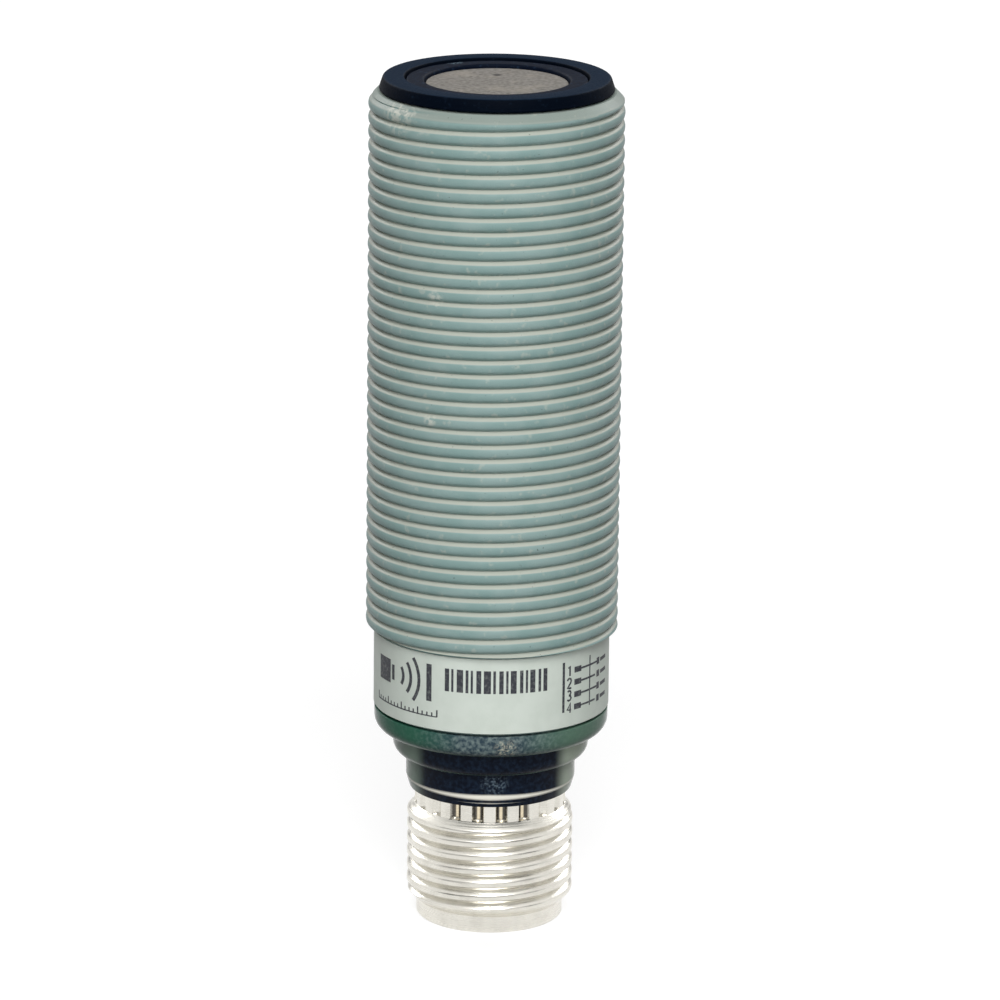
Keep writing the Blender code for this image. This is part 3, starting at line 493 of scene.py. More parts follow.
def printed_film(colours):
    """Matt polyester film of the label: even, with the faint cloudiness of the glue under it."""
    material, tree, place = begin_finish("matt_polyester_film")
    glue = patches(tree, place, 1.4, 0.3, 0.7)
    film = laid_over(tree, mixed(colours.label, BLACK, 0.03), mixed(colours.label, WHITE, 0.06), glue)
    grain = patches(tree, place, 0.12, 0.2, 0.8, 2.0)
    rough = add(tree, "ShaderNodeMapRange", {0: grain, 3: 0.45, 4: 0.55})
    bump = add(tree, "ShaderNodeBump", {"Height": grain, "Distance": 0.003 * MM})
    sockets = {"Base Color": film, "Roughness": rough, "Specular IOR Level": 0.25, "Normal": bump}
    return end_finish(material, colours.label, sockets)


def screen_ink(colours):
    """Screen-printed ink: dense and matt, thinner in spots where the film shows through."""
    material, tree, place = begin_finish("screen_printed_ink")
    thin = patches(tree, place, 0.22, 0.45, 0.8)
    ink = laid_over(tree, colours.ink, colours.label, thin, 0.18)
    sockets = {"Base Color": ink, "Roughness": 0.55, "Specular IOR Level": 0.2}
    return end_finish(material, colours.ink, sockets)


def moulded_black_abs(colours):
    """Black ABS of the front cap, moulded: a fine spark-eroded texture and a little dust on top."""
    material, tree, place = begin_finish("moulded_abs_front_cap")
    dust = patches(tree, place, 0.3, 0.55, 0.8, 5.0)
    skin = laid_over(tree, colours.front_cap, colours.cap_dust, facing_up(tree, 0.6, 0.95), 0.25)
    skin = laid_over(tree, skin, colours.cap_dust, dust, 0.12)
    texture = patches(tree, place, 0.14, 0.25, 0.75)
    rough = add(tree, "ShaderNodeMapRange", {0: texture, 3: 0.5, 4: 0.62})
    bump = add(tree, "ShaderNodeBump", {"Height": texture, "Distance": 0.006 * MM})
    sockets = {"Base Color": skin, "Roughness": rough, "Specular IOR Level": 0.02, "Normal": bump}
    return end_finish(material, colours.front_cap, sockets)


def cast_silicone(colours, face):
    """Slate silicone of the decoupling ring, cast: a dull skin with fine dust and one painted highlight
    spot.
    """
    material, tree, place = begin_finish("cast_silicone_ring")
    dust = patches(tree, place, 0.25, 0.55, 0.8, 5.0)
    skin = laid_over(tree, colours.ring, colours.cap_dust, dust, 0.5)
    # Painted highlight: a small pale streaky spot on the ring's top face
    middle, size = RING_HIGHLIGHT_SPOT
    rubbed = both_of(tree, spot(tree, place, (*middle, face), size), patches(tree, place, 0.2, 0.4, 0.6))
    skin = laid_over(tree, skin, linear("7C92A0"), rubbed, 0.7)
    waves = patches(tree, place, 0.6, 0.3, 0.7, 2.0)
    bump = add(tree, "ShaderNodeBump", {"Height": waves, "Distance": 0.01 * MM})
    sockets = {"Base Color": skin, "Roughness": 0.6, "Specular IOR Level": 0.05, "Normal": bump}
    return end_finish(material, colours.ring, sockets)


def bead_filled_epoxy(colours, face):
    """Epoxy of the sensing disc, filled with hollow glass beads and ground flat.

    Its grains are 0.3 mm wide, drawn as coarse as they need to show, and a few cut beads stay open,
    painted darker inside as painted shade.
    One dark speck sits behind its middle.
    """
    material, tree, place = begin_finish("glass_bead_epoxy_disc")
    grains = patches(tree, place, 0.3, 0.34, 0.66, 4.0)
    skin = laid_over(tree, mixed(colours.disc, BLACK, 0.16), mixed(colours.disc, WHITE, 0.06), grains)
    skin = laid_over(tree, skin, linear("A39C90"), patches(tree, place, 1.6, 0.45, 0.7), 0.35)
    cells = {"Vector": place, "Scale": 1 / 1.1}
    beads = add(tree, "ShaderNodeTexVoronoi", cells, output="Distance", feature="F1")
    # Painted shade: the open beads are darker inside
    holes = add(tree, "ShaderNodeMapRange", {0: beads, 1: 0.09, 2: 0.13, 3: 1.0, 4: 0.0})
    skin = laid_over(tree, skin, linear("4F4B46"), holes, 0.6)
    middle, size = DISC_SPECK
    skin = laid_over(tree, skin, linear("2B2A2E"), spot(tree, place, (*middle, face), size), 0.9)
    relief = add(tree, "ShaderNodeMath", {0: grains, 1: holes}, operation="SUBTRACT")
    bump = add(tree, "ShaderNodeBump", {"Height": relief, "Distance": 0.007 * MM})
    sockets = {"Base Color": skin, "Roughness": 0.8, "Specular IOR Level": 0.1, "Normal": bump}
    return end_finish(material, colours.disc, sockets)


def smoked_polycarbonate(colours, levels):
    """Smoked polycarbonate of the rear cap, moulded and glossy.

    Its colour holds painted light. The light that gets in where its wall is thin is painted in: green
    from the board beside the upper step, slate and mottled at the front and the back of it, with a
    painted highlight spot at the front. The lower steps turn pale at their side edges as painted light
    and have a pale mark at the front. Painted highlight lines run just above the two step edges, and a
    painted highlight runs in a line round the rounded lower edge.
    """
    material, tree, place = begin_finish("smoked_polycarbonate_cap")
    height = add(tree, "ShaderNodeSeparateXYZ", {0: place}, output="Z")
    across = add(tree, "ShaderNodeSeparateXYZ", {0: place}, output="X")
    sideways = off_centre(tree, place)
    motes = patches(tree, place, 0.3, 0.35, 0.75, 5.0)
    fine_motes = patches(tree, place, 0.16, 0.4, 0.8)
    # Painted light: slate, mottled light seen through the front and the back of the upper step
    slate = laid_over(tree, linear("33434D"), linear("8E9F9B"), motes, 0.6)
    # Painted highlight: a cream spot on the front of the upper step
    pale_spot = both_of(tree, spot(tree, place, *UPPER_HIGHLIGHT_SPOT), fine_motes)
    slate = laid_over(tree, slate, linear("D2CDB6"), pale_spot, 0.85)
    rightwards = add(tree, "ShaderNodeMapRange", {0: across, 1: -3.0, 2: 3.0})
    # Painted light: green light from the board, seen through the sides of the upper step
    green = laid_over(tree, colours.rear_cap_painted_light, linear("627D6C"), rightwards, 0.75)
    green_side = add(tree, "ShaderNodeMapRange", {0: sideways, 1: 2.0, 2: 5.5})
    glow = laid_over(tree, slate, green, green_side, 0.9)
    body = laid_over(tree, colours.rear_cap, linear("31455E"), motes, 0.25)
    # A pale bluish mark on the front of the lower step
    pale_spot = both_of(tree, spot(tree, place, *LOWER_PALE_SPOT), fine_motes)
    body = laid_over(tree, body, linear("7F93A0"), pale_spot, 0.6)
    # Painted light: the side edges of the lower steps turn pale and grey-green
    clear = add(tree, "ShaderNodeMapRange", {0: sideways, 1: 4.5, 2: 5.5}, interpolation_type="SMOOTHSTEP")
    edge_painted_light = laid_over(tree, linear("7F9184"), linear("B9C6B4"), rightwards)
    body = laid_over(tree, body, edge_painted_light, clear, 0.9)
    # The painted light covers the upper step
    step = levels["upper"]
    upper = add(tree, "ShaderNodeMapRange", {0: height, 1: step - 0.1, 2: step + 0.5})
    skin = laid_over(tree, body, glow, upper)
    # Painted highlight: thin pale lines just above the two step edges, stronger towards the sides
    rim_cover = add(tree, "ShaderNodeMapRange", {0: sideways, 1: 1.0, 2: 4.0, 3: 0.2, 4: 0.8})
    for edge in ("middle", "upper"):
        rim = line_round(tree, place, levels[edge] + 0.12, 0.03, 0.16)
        skin = laid_over(tree, skin, linear("8FA79C"), rim, rim_cover)
    # Painted highlight: two pale lines round the rounded lower edge, thinner towards the sides
    fading = add(tree, "ShaderNodeMath", {0: sideways, 1: 0.025}, operation="MULTIPLY")
    for above, width, cover in ((0.78, 0.28, 1.0), (0.32, 0.07, 0.5)):
        line = line_round(tree, place, levels["lower"] + above, width * 0.4, width, fading)
        skin = laid_over(tree, skin, linear("F7F4E8"), line, cover)
    waves = patches(tree, place, 0.9, 0.3, 0.7, 2.0)
    bump = add(tree, "ShaderNodeBump", {"Height": waves, "Distance": 0.006 * MM})
    sockets = {"Base Color": skin, "Roughness": 0.16, "Specular IOR Level": 0.06, "Normal": bump}
    return end_finish(material, colours.rear_cap, sockets)


def turned_metal(name, shade, low, high, stain=0.3, painted_flutes=None):
    """Plated metal, turned before plating: bright, with the 0.1 mm rings of the tool and faint stains.

    The painted flutes are the neck's radius and the height where they start. At the front and the back,
    their walls are painted dark and their floors pale and yellowish, as painted reflection; at the sides
    they stay plain.
    """
    material, tree, place = begin_finish(name)
    stains = patches(tree, place, 1.2, 0.4, 0.75)
    skin = laid_over(tree, shade, mixed(shade, linear("9A958A"), 0.6), stains, stain)
    if painted_flutes:
        neck, start = painted_flutes
        outward = stretched(tree, place, (1.0, 1.0, 0.0))
        radius = add(tree, "ShaderNodeVectorMath", {0: outward}, output="Value", operation="LENGTH")
        height = add(tree, "ShaderNodeSeparateXYZ", {0: place}, output="Z")
        above = add(tree, "ShaderNodeMath", {0: height, 1: start}, operation="GREATER_THAN")
        # Painted reflection: dark flute walls and pale cream flute floors, at the front and the back only
        sideways = off_centre(tree, place)
        kept = add(tree, "ShaderNodeMapRange", {0: sideways, 1: 2.6, 2: 3.4, 3: 1.0, 4: 0.0})
        held = both_of(tree, above, kept)
        for deep, shallow, tint in ((0.2, 0.01, "2E2822"), (0.345, 0.32, "F2E4C6")):
            inputs = {0: radius, 1: neck - deep, 2: neck - shallow, 3: 1.0, 4: 0.0}
            sunk = add(tree, "ShaderNodeMapRange", inputs)
            skin = laid_over(tree, skin, linear(tint), both_of(tree, sunk, held), 0.9)
    rings = patches(tree, stretched(tree, place, (0.15, 0.15, 9.0)), 1.0, 0.3, 0.7)
    rough = add(tree, "ShaderNodeMapRange", {0: rings, 3: low, 4: high})
    bump = add(tree, "ShaderNodeBump", {"Height": rings, "Distance": 0.004 * MM})
    sockets = {"Base Color": skin, "Metallic": 1.0, "Roughness": rough, "Normal": bump}
    return end_finish(material, shade, sockets)


def moulded_rubber(name, shade, rough, size):
    """Moulded nitrile rubber or polyamide: dull, with a fine grain and a few paler scuffs."""
    material, tree, place = begin_finish(name)
    scuffs = patches(tree, place, size * 3, 0.55, 0.8, 4.0)
    skin = laid_over(tree, shade, mixed(shade, WHITE, 0.2), scuffs, 0.3)
    grain = patches(tree, place, size, 0.2, 0.8)
    bump = add(tree, "ShaderNodeBump", {"Height": grain, "Distance": 0.01 * MM})
    return end_finish(material, shade, {"Base Color": skin, "Roughness": rough, "Normal": bump})


def make_barrel(sizes, walls, colours):
    """Threaded barrel: a rounded thread, a plain end for the label and a plain bore."""
    bottom, top = span("threaded_housing")
    crest = reach("threaded_housing")
    seat = crest - walls.seat_step
    bore = seat - walls.barrel_wall
    edge, relief = 0.12, 0.05
    seat_top = bottom + walls.seat_length
    thread = {
        "pitch": sizes.pitch,
        "samples": sizes.samples,
        "bottom": seat_top + walls.seat_shoulder,
        "top": top,
        "groove": sizes.barrel_groove,
        "crest": crest,
        "depth": sizes.barrel_depth,
        "crest_width": sizes.barrel_crest,
        "bulge": sizes.barrel_bulge,
        "bottom_chamfer": None,
        "top_chamfer": crest - walls.mouth_bevel,
    }
    below = [(bore, bottom + edge), (bore + edge, bottom), (seat - edge, bottom), (seat, bottom + edge)]
    below += [(seat, seat_top - relief), (seat + relief, seat_top)]
    above = [(bore + edge, top), (bore, top - edge)]
    points, faces = threaded_body(thread, below, above, ROUND_SIDES)
    plastic = moulded_polyester(colours)
    piece_from("threaded_barrel", points, faces, plastic, ["threaded_housing"])


def on_label(along, height, radius, wrap):
    """A point of the label: along runs round it from the front, towards +X."""
    turn = along / wrap
    return radius * math.sin(turn), -radius * math.cos(turn), height


def make_label(walls, colours):
    """Label film round the plain end, with rounded corners at its seam."""
    bottom, top = span("type_label")
    outer = reach("type_label")
    inner = outer - walls.label_thickness
    half = math.pi * outer - walls.label_seam / 2
    corner, bevel = 0.6, 0.02
    curve = [half - corner * (1 - math.cos(math.radians(turn))) for turn in range(0, 91, 15)]
    middle = half - corner
    alongs = curve + [middle * (1 - 2 * step / ROUND_SIDES) for step in range(1, ROUND_SIDES)]
    alongs += [-along for along in reversed(curve)]
    points, faces = [], []
    for along in alongs:
        over = max(0.0, abs(along) - middle) / corner
        cut = corner * (1 - math.sqrt(max(0.0, 1 - over**2)))
        low, high = bottom + cut, top - cut
        ring = [(inner, low), (outer - bevel, low), (outer, low + bevel), (outer, high - bevel)]
        ring += [(outer - bevel, high), (inner, high)]
        points += [on_label(along, height, radius, outer) for radius, height in ring]
    count = len(ring)
    for column in range(len(alongs) - 1):
        for step in range(count):
            a, b = count * column + step, count * column + (step + 1) % count
            faces.append((a, b, b + count, a + count))
    faces.append(tuple(range(count)))
    faces.append(tuple(range(len(points) - count, len(points))))
    piece_from("label_film", points, faces, printed_film(colours), ["type_label"])


def ink_stroke(points, faces, path, width, radius, thickness):
    """Add a stroke of ink along a path of (along, height) points, bent round the label in short steps."""
    longest_step, film_gap = 0.35, 0.001
    fine = []
    for (x0, z0), (x1, z1) in zip(path, path[1:]):
        pieces = max(1, math.ceil(abs(x1 - x0) / longest_step))
        fine += [(x0 + (x1 - x0) * step / pieces, z0 + (z1 - z0) * step / pieces) for step in range(pieces)]
    fine.append(path[-1])
    start = len(points)
    for index, (x, z) in enumerate(fine):
        before, after = fine[max(index - 1, 0)], fine[min(index + 1, len(fine) - 1)]
        way = Vector((after[0] - before[0], after[1] - before[1])).normalized()
        side = Vector((-way.y, way.x)) * width / 2
        for lift in (film_gap, thickness):
            for sign in (1, -1):
                along, height = x + sign * side.x, z + sign * side.y
                points.append(on_label(along, height, radius + lift, radius))
    loop = (0, 1, 3, 2)
    for index in range(len(fine) - 1):
        base = start + 4 * index
        for a, b in zip(loop, loop[1:] + loop[:1]):
            faces.append((base + a, base + b, base + b + 4, base + a + 4))
    faces.append(tuple(start + a for a in loop))
    faces.append(tuple(len(points) - 4 + a for a in loop))


def arc_path(centre, radius, first, last, steps=10):
    """Points of an arc on the label, its angles in degrees from the +along direction."""
    turns = [math.radians(first + (last - first) * step / steps) for step in range(steps + 1)]
    return [(centre[0] + radius * math.cos(turn), centre[1] + radius * math.sin(turn)) for turn in turns]


# Strokes of the plain numbers beside the pin lines, in a box one unit wide and two high
NUMBER_STROKES = {
    1: [[(0.2, 1.6), (0.6, 2.0), (0.6, 0.0)]],
    2: [
        [(0.0, 1.55), (0.15, 1.9), (0.5, 2.0), (0.85, 1.85), (0.95, 1.5), (0.8, 1.1), (0.0, 0.0), (1.0, 0.0)]
    ],
    3: [
        [(0.05, 1.8), (0.35, 2.0), (0.75, 1.9), (0.9, 1.55), (0.7, 1.15), (0.4, 1.05)],
        [(0.4, 1.05), (0.8, 0.9), (0.95, 0.5), (0.75, 0.12), (0.35, 0.0), (0.0, 0.2)],
    ],
    4: [[(0.75, 0.0), (0.75, 2.0), (0.0, 0.6), (1.0, 0.6)]],
}


def draw_sensing_symbol(stroke, left, middle):
    """A plain transmitter, three waves and a target."""
    front, target = left + 2.1, left + 5.45
    stroke([(left, middle), (left + 1.6, middle)], 1.7)
    stroke([(front - 0.3, middle), (front, middle)], 1.1)
    for size in (1.0, 1.75, 2.5):
        stroke(arc_path((front, middle), size, -38, 38), 0.26)
    stroke([(target, middle - 1.35), (target, middle + 1.35)], 0.42)


def draw_rule(stroke, left, level):
    """A ruled line whose every fourth tick is longer."""
    pitch, ticks = 0.4, 17
    stroke([(left, level), (left + pitch * (ticks - 1), level)], 0.09)
    for tick in range(ticks):
        along, tall = left + pitch * tick, 0.28 if tick % 4 else 0.5
        stroke([(along, level), (along, level + tall)], 0.11)


def draw_bars(stroke, left, low, high):
    """A row of upright bars that stand for nothing."""
    for index, width in enumerate(BAR_WIDTHS):
        stroke([(left + width / 2, low), (left + width / 2, high)], width)
        left += width + BAR_SPACES[index % len(BAR_SPACES)]


def draw_pin_lines(stroke, left, bottom):
    """A pin diagram: for each pin its number, a terminal, and a wire past a common line."""
    right, size, rise = left + 2.7, 0.36, 0.9
    lowest, low, high = bottom + 1.35, bottom + 1.1, bottom + 4.75
    stroke([(left, low), (left, high)], 0.2)
    stroke([(right, low), (right, high)], 0.12)
    for number, paths in NUMBER_STROKES.items():
        level = lowest + rise * (4 - number)
        for path in paths:
            stroke([(left + 0.35 + size * x, level - size + size * y) for x, y in path], 0.14)
        stroke([(left + 1.0, level), (left + 1.7, level)], 0.42)
        stroke([(left + 1.7, level), (right, level)], 0.14)
        stroke([(right, level), (right + 0.7 + 0.3 * (number % 2), level)], 0.14)
        stroke([(right + 1.15, level - 0.24), (right + 1.15, level + 0.24)], 0.4)
        stroke([(right + 1.55, level), (right + 2.6, level)], 0.26)


def make_print(walls, colours):
    """Print of the label: a plain sensing symbol, a ruled line, a block of bars and a pin diagram."""
    radius = reach("type_label")
    bottom, top = span("type_label")
    symbol_left, rule_left, bars_left, pins_left = -10.0, -10.3, -3.3, 5.45
    symbol_rise, rule_rise, bars_rise, bar_height = 0.65, 0.95, 2.95, 1.65
    points, faces = [], []

    def stroke(path, width):
        ink_stroke(points, faces, path, width, radius, walls.ink_thickness)

    draw_sensing_symbol(stroke, symbol_left, (bottom + top) / 2 + symbol_rise)
    draw_rule(stroke, rule_left, bottom + rule_rise)
    draw_bars(stroke, bars_left, bottom + bars_rise, bottom + bars_rise + bar_height)
    draw_pin_lines(stroke, pins_left, bottom)
    piece_from("label_print", points, faces, screen_ink(colours))


def seal_notch(wall, middle):
    """Groove of a sealing ring in a wall, from its lower lip to its upper one."""
    half, floor, edge = SEAL_CORD / 2 + FIT_GAP / 2, wall - SEAL_CORD - FIT_GAP / 2, 0.03
    low, high = middle - half, middle + half
    return [(wall, low, edge), (floor, low, edge), (floor, high, edge), (wall, high, edge)]


def ring_middle(node):
    """Height of a sealing ring's middle."""
    low, high = span(node)
    return (low + high) / 2


def skirt_radius(walls):
    """Radius of the skirts that fit the barrel's bore."""
    return reach("threaded_housing") - walls.seat_step - walls.barrel_wall - FIT_GAP


def make_front_cap(walls, colours):
    """Front cap: a raised rim with softly rounded edges, a window and a skirt."""
    bottom, top = span("front_cap")
    rim = reach("front_cap")
    window = reach("decoupling_ring") + FIT_GAP
    skirt = skirt_radius(walls)
    rim_bottom = span("threaded_housing")[1] + FIT_GAP
    shelf_top = span("decoupling_ring")[0] - FIT_GAP
    shelf_width, rim_slope = 1.8, 0.3
    shelf = window - shelf_width
    outline = [(shelf, bottom, 0.1), (skirt, bottom, 0.15)]
    outline += seal_notch(skirt, ring_middle("front_seal_ring"))
    outline += [(skirt, rim_bottom, 0.05), (rim, rim_bottom, 0.1), (rim - rim_slope, top, 0.22)]
    outline += [(window, top, 0.14), (window, shelf_top, 0.1), (shelf, shelf_top, 0.1)]
    points, faces = lathe(rounded(outline))
    plastic = moulded_black_abs(colours)
    piece_from("front_rim_cap", points, faces, plastic, ["front_cap"])


def make_sensing_face(colours):
    """Decoupling ring and the disc of the sensing face."""
    low, high = span("decoupling_ring")
    outer = reach("decoupling_ring")
    disc = reach("matching_layer")
    disc_low, disc_high = span("matching_layer")
    ledge_width = 0.75
    inner, ledge = disc + FIT_GAP, disc - ledge_width
    outline = [(ledge, low, 0.08), (outer, low, 0.08), (outer, high, 0.12), (inner, high, 0.2)]
    outline += [(inner, disc_low - FIT_GAP, 0.05), (ledge, disc_low - FIT_GAP, 0.05)]
    points, faces = lathe(rounded(outline))
    silicone = cast_silicone(colours, high)
    piece_from("soft_decoupling_ring", points, faces, silicone, ["decoupling_ring"])
    outline = [(0, disc_low, 0), (disc, disc_low, 0.08), (disc, disc_high, 0.12), (0, disc_high, 0)]
    points, faces = lathe(rounded(outline))
    epoxy = bead_filled_epoxy(colours, disc_high)
    piece_from("sensing_disc", points, faces, epoxy, ["matching_layer"])


def make_rear_cap(walls, colours):
    """Rear cap: three rounded steps and a skirt with the groove of its seal."""
    bottom, top = span("rear_cap")
    wide = reach("rear_cap")
    bore = walls.neck_radius + FIT_GAP
    lower_wall, skirt_wall, set_in, curl = 0.55, 1.2, 0.2, 0.85
    narrow = bore + lower_wall
    middle = (narrow + wide) / 2 - set_in
    shoulder = span("threaded_housing")[0] - FIT_GAP
    second = shoulder - walls.cap_upper
    first = second - walls.cap_middle
    skirt = skirt_radius(walls)
    cavity = skirt - skirt_wall
    outline = [(bore, bottom, 0.02), (bore + 0.3, bottom, 0.1), (narrow, bottom + curl, 0.8)]
    outline += [(narrow, first, 0.1), (middle, first, 0.9)]
    outline += [(middle, second, 0.1), (wide, second, 1.0), (wide, shoulder, 0.06), (skirt, shoulder, 0.05)]
    outline += seal_notch(skirt, ring_middle("rear_seal_ring"))
    outline += [(skirt, top, 0.15), (cavity, top, 0.1), (cavity, shoulder, 0.08), (bore, shoulder, 0.08)]
    points, faces = lathe(rounded(outline, 6))
    smoked = smoked_polycarbonate(colours, {"lower": bottom, "middle": first, "upper": second})
    piece_from("smoked_rear_cap", points, faces, smoked, ["rear_cap"])


def make_plug_shell(sizes, walls, colours):
    """Plug shell: turned brass with the thread, a plain pilot and a fluted neck."""
    bottom, top = span("connector_shell")
    crest = reach("connector_shell")
    neck, bore, pilot = walls.neck_radius, walls.plug_bore, walls.pilot_radius
    thread_top = bottom + walls.pilot_length + walls.plug_thread
    thread = {
        "pitch": sizes.pitch,
        "samples": sizes.samples,
        "bottom": bottom + walls.pilot_length,
        "top": thread_top,
        "groove": sizes.plug_groove,
        "crest": crest,
        "depth": sizes.plug_depth,
        "crest_width": sizes.plug_crest,
        "bulge": sizes.plug_bulge,
        "bottom_chamfer": pilot,
        "top_chamfer": neck,
    }
    edge, thread_end, flute_end, near, flute_paint_start = 0.15, 0.03, 0.2, 0.01, 0.1
    below = [(bore, bottom + edge), (bore + edge, bottom), (pilot - edge, bottom), (pilot, bottom + edge)]
    flute_top = thread_top + walls.flute_length
    above = [(neck, thread_top + thread_end), (neck, flute_top - flute_end), (neck, flute_top)]
    above += [(neck, top), (bore, top)]
    points, faces = threaded_body(thread, below, above, SIDES_PER_FLUTE * FLUTES)
    for index, (x, y, z) in enumerate(points):
        radius = math.hypot(x, y)
        if radius < neck - near or not thread_top + near < z < flute_top - near:
            continue
        share = (math.atan2(y, x) / (2 * math.pi) * FLUTES) % 1.0 - 0.5
        off = abs(share) * 2 * math.pi * neck / FLUTES
        hollow = math.sqrt(max(0.0, 1 - (2 * off / walls.flute_width) ** 2))
        scale = 1 - walls.flute_depth * hollow / radius
        points[index] = (x * scale, y * scale, z)
    # The flutes' painted reflection starts a little above the thread
    painted_flutes = (neck, thread_top + flute_paint_start)
    plating = turned_metal("nickel_plated_brass_plug", colours.nickel, 0.22, 0.34, painted_flutes=painted_flutes)
    piece_from("plug_shell", points, faces, plating, ["connector_shell"])


def combine(piece, tool, operation):
    """Apply a Boolean with a helper, then remove the helper."""
    modifier = piece.modifiers.new("Combine", "BOOLEAN")
    modifier.operation = operation
    modifier.solver = "EXACT"
    modifier.object = tool
    graph = bpy.context.evaluated_depsgraph_get()
    joined = bpy.data.meshes.new_from_object(piece.evaluated_get(graph))
    piece.modifiers.clear()
    piece.data = joined
    bpy.data.objects.remove(tool)
    smooth(joined)


def pin_centre(turn):
    """Where a pin stands on the pin circle."""
    return PIN_CIRCLE * math.cos(math.radians(turn)), PIN_CIRCLE * math.sin(math.radians(turn))


def make_contact_carrier():
    """Insulator of the plug: a flat face with four countersunk holes and the coding key."""
    low, high = span("contact_carrier")
    radius = reach("contact_carrier")
    body_height, step, step_width, key_half = 5.9, 0.12, 0.5, 0.55
    overshoot = 1.0
    face = high - body_height
    nylon = moulded_rubber("moulded_polyamide_carrier", linear("1B1E22"), 0.45, 0.12)
    lower = radius - step_width
    outline = [(0, face, 0), (lower, face, 0.05), (lower + 0.05, face + step, 0.04)]
    outline += [(radius, face + step, 0.08), (radius, high, 0.08), (0, high, 0)]
    points, faces = lathe(rounded(outline), 96)
    name, node = "keyed_contact_carrier", "contact_carrier"
    carrier = piece_from(name, points, faces, nylon, [node])
    key_out = radius - FIT_GAP
    sides = [(x, y) for x in (-key_half, key_half) for y in (key_out - key_half, key_out)]
    points = [(x, y, z) for z in (low, (face + high) / 2) for x, y in sides]
    faces = [(0, 1, 3, 2), (4, 6, 7, 5), (0, 4, 5, 1), (2, 3, 7, 6), (0, 2, 6, 4), (1, 5, 7, 3)]
    combine(carrier, closed_object("key_helper", points, faces), "UNION")
    hole, countersink = PIN_RADIUS + FIT_GAP, 0.2
    mouth = hole + countersink
    for turn in PIN_TURNS:
        outline = [(0, face - overshoot), (mouth, face - overshoot), (mouth, face)]
        outline += [(hole, face + countersink), (hole, high + overshoot), (0, high + overshoot)]
        cutter = closed_object("hole_helper", *lathe(outline, SMALL_SIDES, pin_centre(turn)))
        combine(carrier, cutter, "DIFFERENCE")


def make_contact_pins(colours):
    """Four turned pins with rounded tips, gold plated."""
    gold = turned_metal("gold_plated_contact", colours.gold, 0.16, 0.26)
    radius, tip, tip_radius = PIN_RADIUS, 0.55, 0.3
    for number, turn in enumerate(PIN_TURNS, start=1):
        node = f"contact_pin_{number}"
        low, high = span(node)
        outline = [(0, low, 0), (tip_radius, low, 0.2), (radius, low + tip, 0.5), (radius, high, 0.1)]
        points, faces = lathe(rounded([*outline, (0, high, 0)], 6), SMALL_SIDES, pin_centre(turn))
        piece_from(f"plated_pin_{number}", points, faces, gold, [node])


def make_seal_rings():
    """Sealing rings of round section in the grooves of the two caps."""
    rubber = moulded_rubber("moulded_nitrile_ring", linear("1C1C1D"), 0.55, 0.1)
    half, squeezed, steps = SEAL_CORD / 2, 0.86, 20
    turns = [2 * math.pi * step / steps for step in range(steps)]
    for node in ("rear_seal_ring", "front_seal_ring"):
        centre, middle = reach(node) - half, ring_middle(node)
        section = [(centre + half * math.cos(t), middle + squeezed * half * math.sin(t)) for t in turns]
        points, faces = lathe(section)
        piece_from(f"round_{node}", points, faces, rubber, [node])


def dress(node, materials, choose=None):
    """Give a kept solid its finishes, and pick one for each face by its middle and its normal."""
    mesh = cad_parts[node].data
    mesh.materials.clear()
    for material in materials:
        mesh.materials.append(material)
    for polygon in mesh.polygons:
        chosen = choose(polygon.center / MM, polygon.normal) if choose else 0
        polygon.material_index = int(chosen)


def masked_laminate(colours):
    """Glass-epoxy board under green solder mask: copper runs 0.2 mm wide show as paler raised lines."""
    material, tree, place = begin_finish("solder_mask_board")
    cells = {"Vector": place, "Scale": 1 / 2.2, "Randomness": 0.9}
    runs = add(tree, "ShaderNodeTexVoronoi", cells, output="Distance", feature="DISTANCE_TO_EDGE")
    copper = add(tree, "ShaderNodeMapRange", {0: runs, 1: 0.05, 2: 0.08, 3: 1.0, 4: 0.0})
    skin = laid_over(tree, colours.board, linear("3E8A52"), copper, 0.8)
    bump = add(tree, "ShaderNodeBump", {"Height": copper, "Distance": 0.03 * MM})
    sockets = {"Base Color": skin, "Roughness": 0.35, "Normal": bump}
    return end_finish(material, colours.board, sockets)


def sawn_laminate():
    """Sawn edge of a glass-epoxy board: straw coloured, with layers of cloth 0.1 mm thick."""
    material, tree, place = begin_finish("sawn_laminate_edge")
    layers = patches(tree, stretched(tree, place, (1.0, 9.0, 1.0)), 1.0, 0.3, 0.7, 2.0)
    skin = laid_over(tree, linear("8F8450"), linear("BDB37C"), layers)
    return end_finish(material, linear("A79C63"), {"Base Color": skin, "Roughness": 0.7})


def moulded_case(name, shade):
    """Moulded or fired case of a component: matt, with pits of 0.1 mm."""
    material, tree, place = begin_finish(name)
    pits = patches(tree, place, 0.12, 0.25, 0.75)
    skin = laid_over(tree, mixed(shade, BLACK, 0.2), mixed(shade, WHITE, 0.08), pits)
    bump = add(tree, "ShaderNodeBump", {"Height": pits, "Distance": 0.008 * MM})
    return end_finish(material, shade, {"Base Color": skin, "Roughness": 0.55, "Normal": bump})


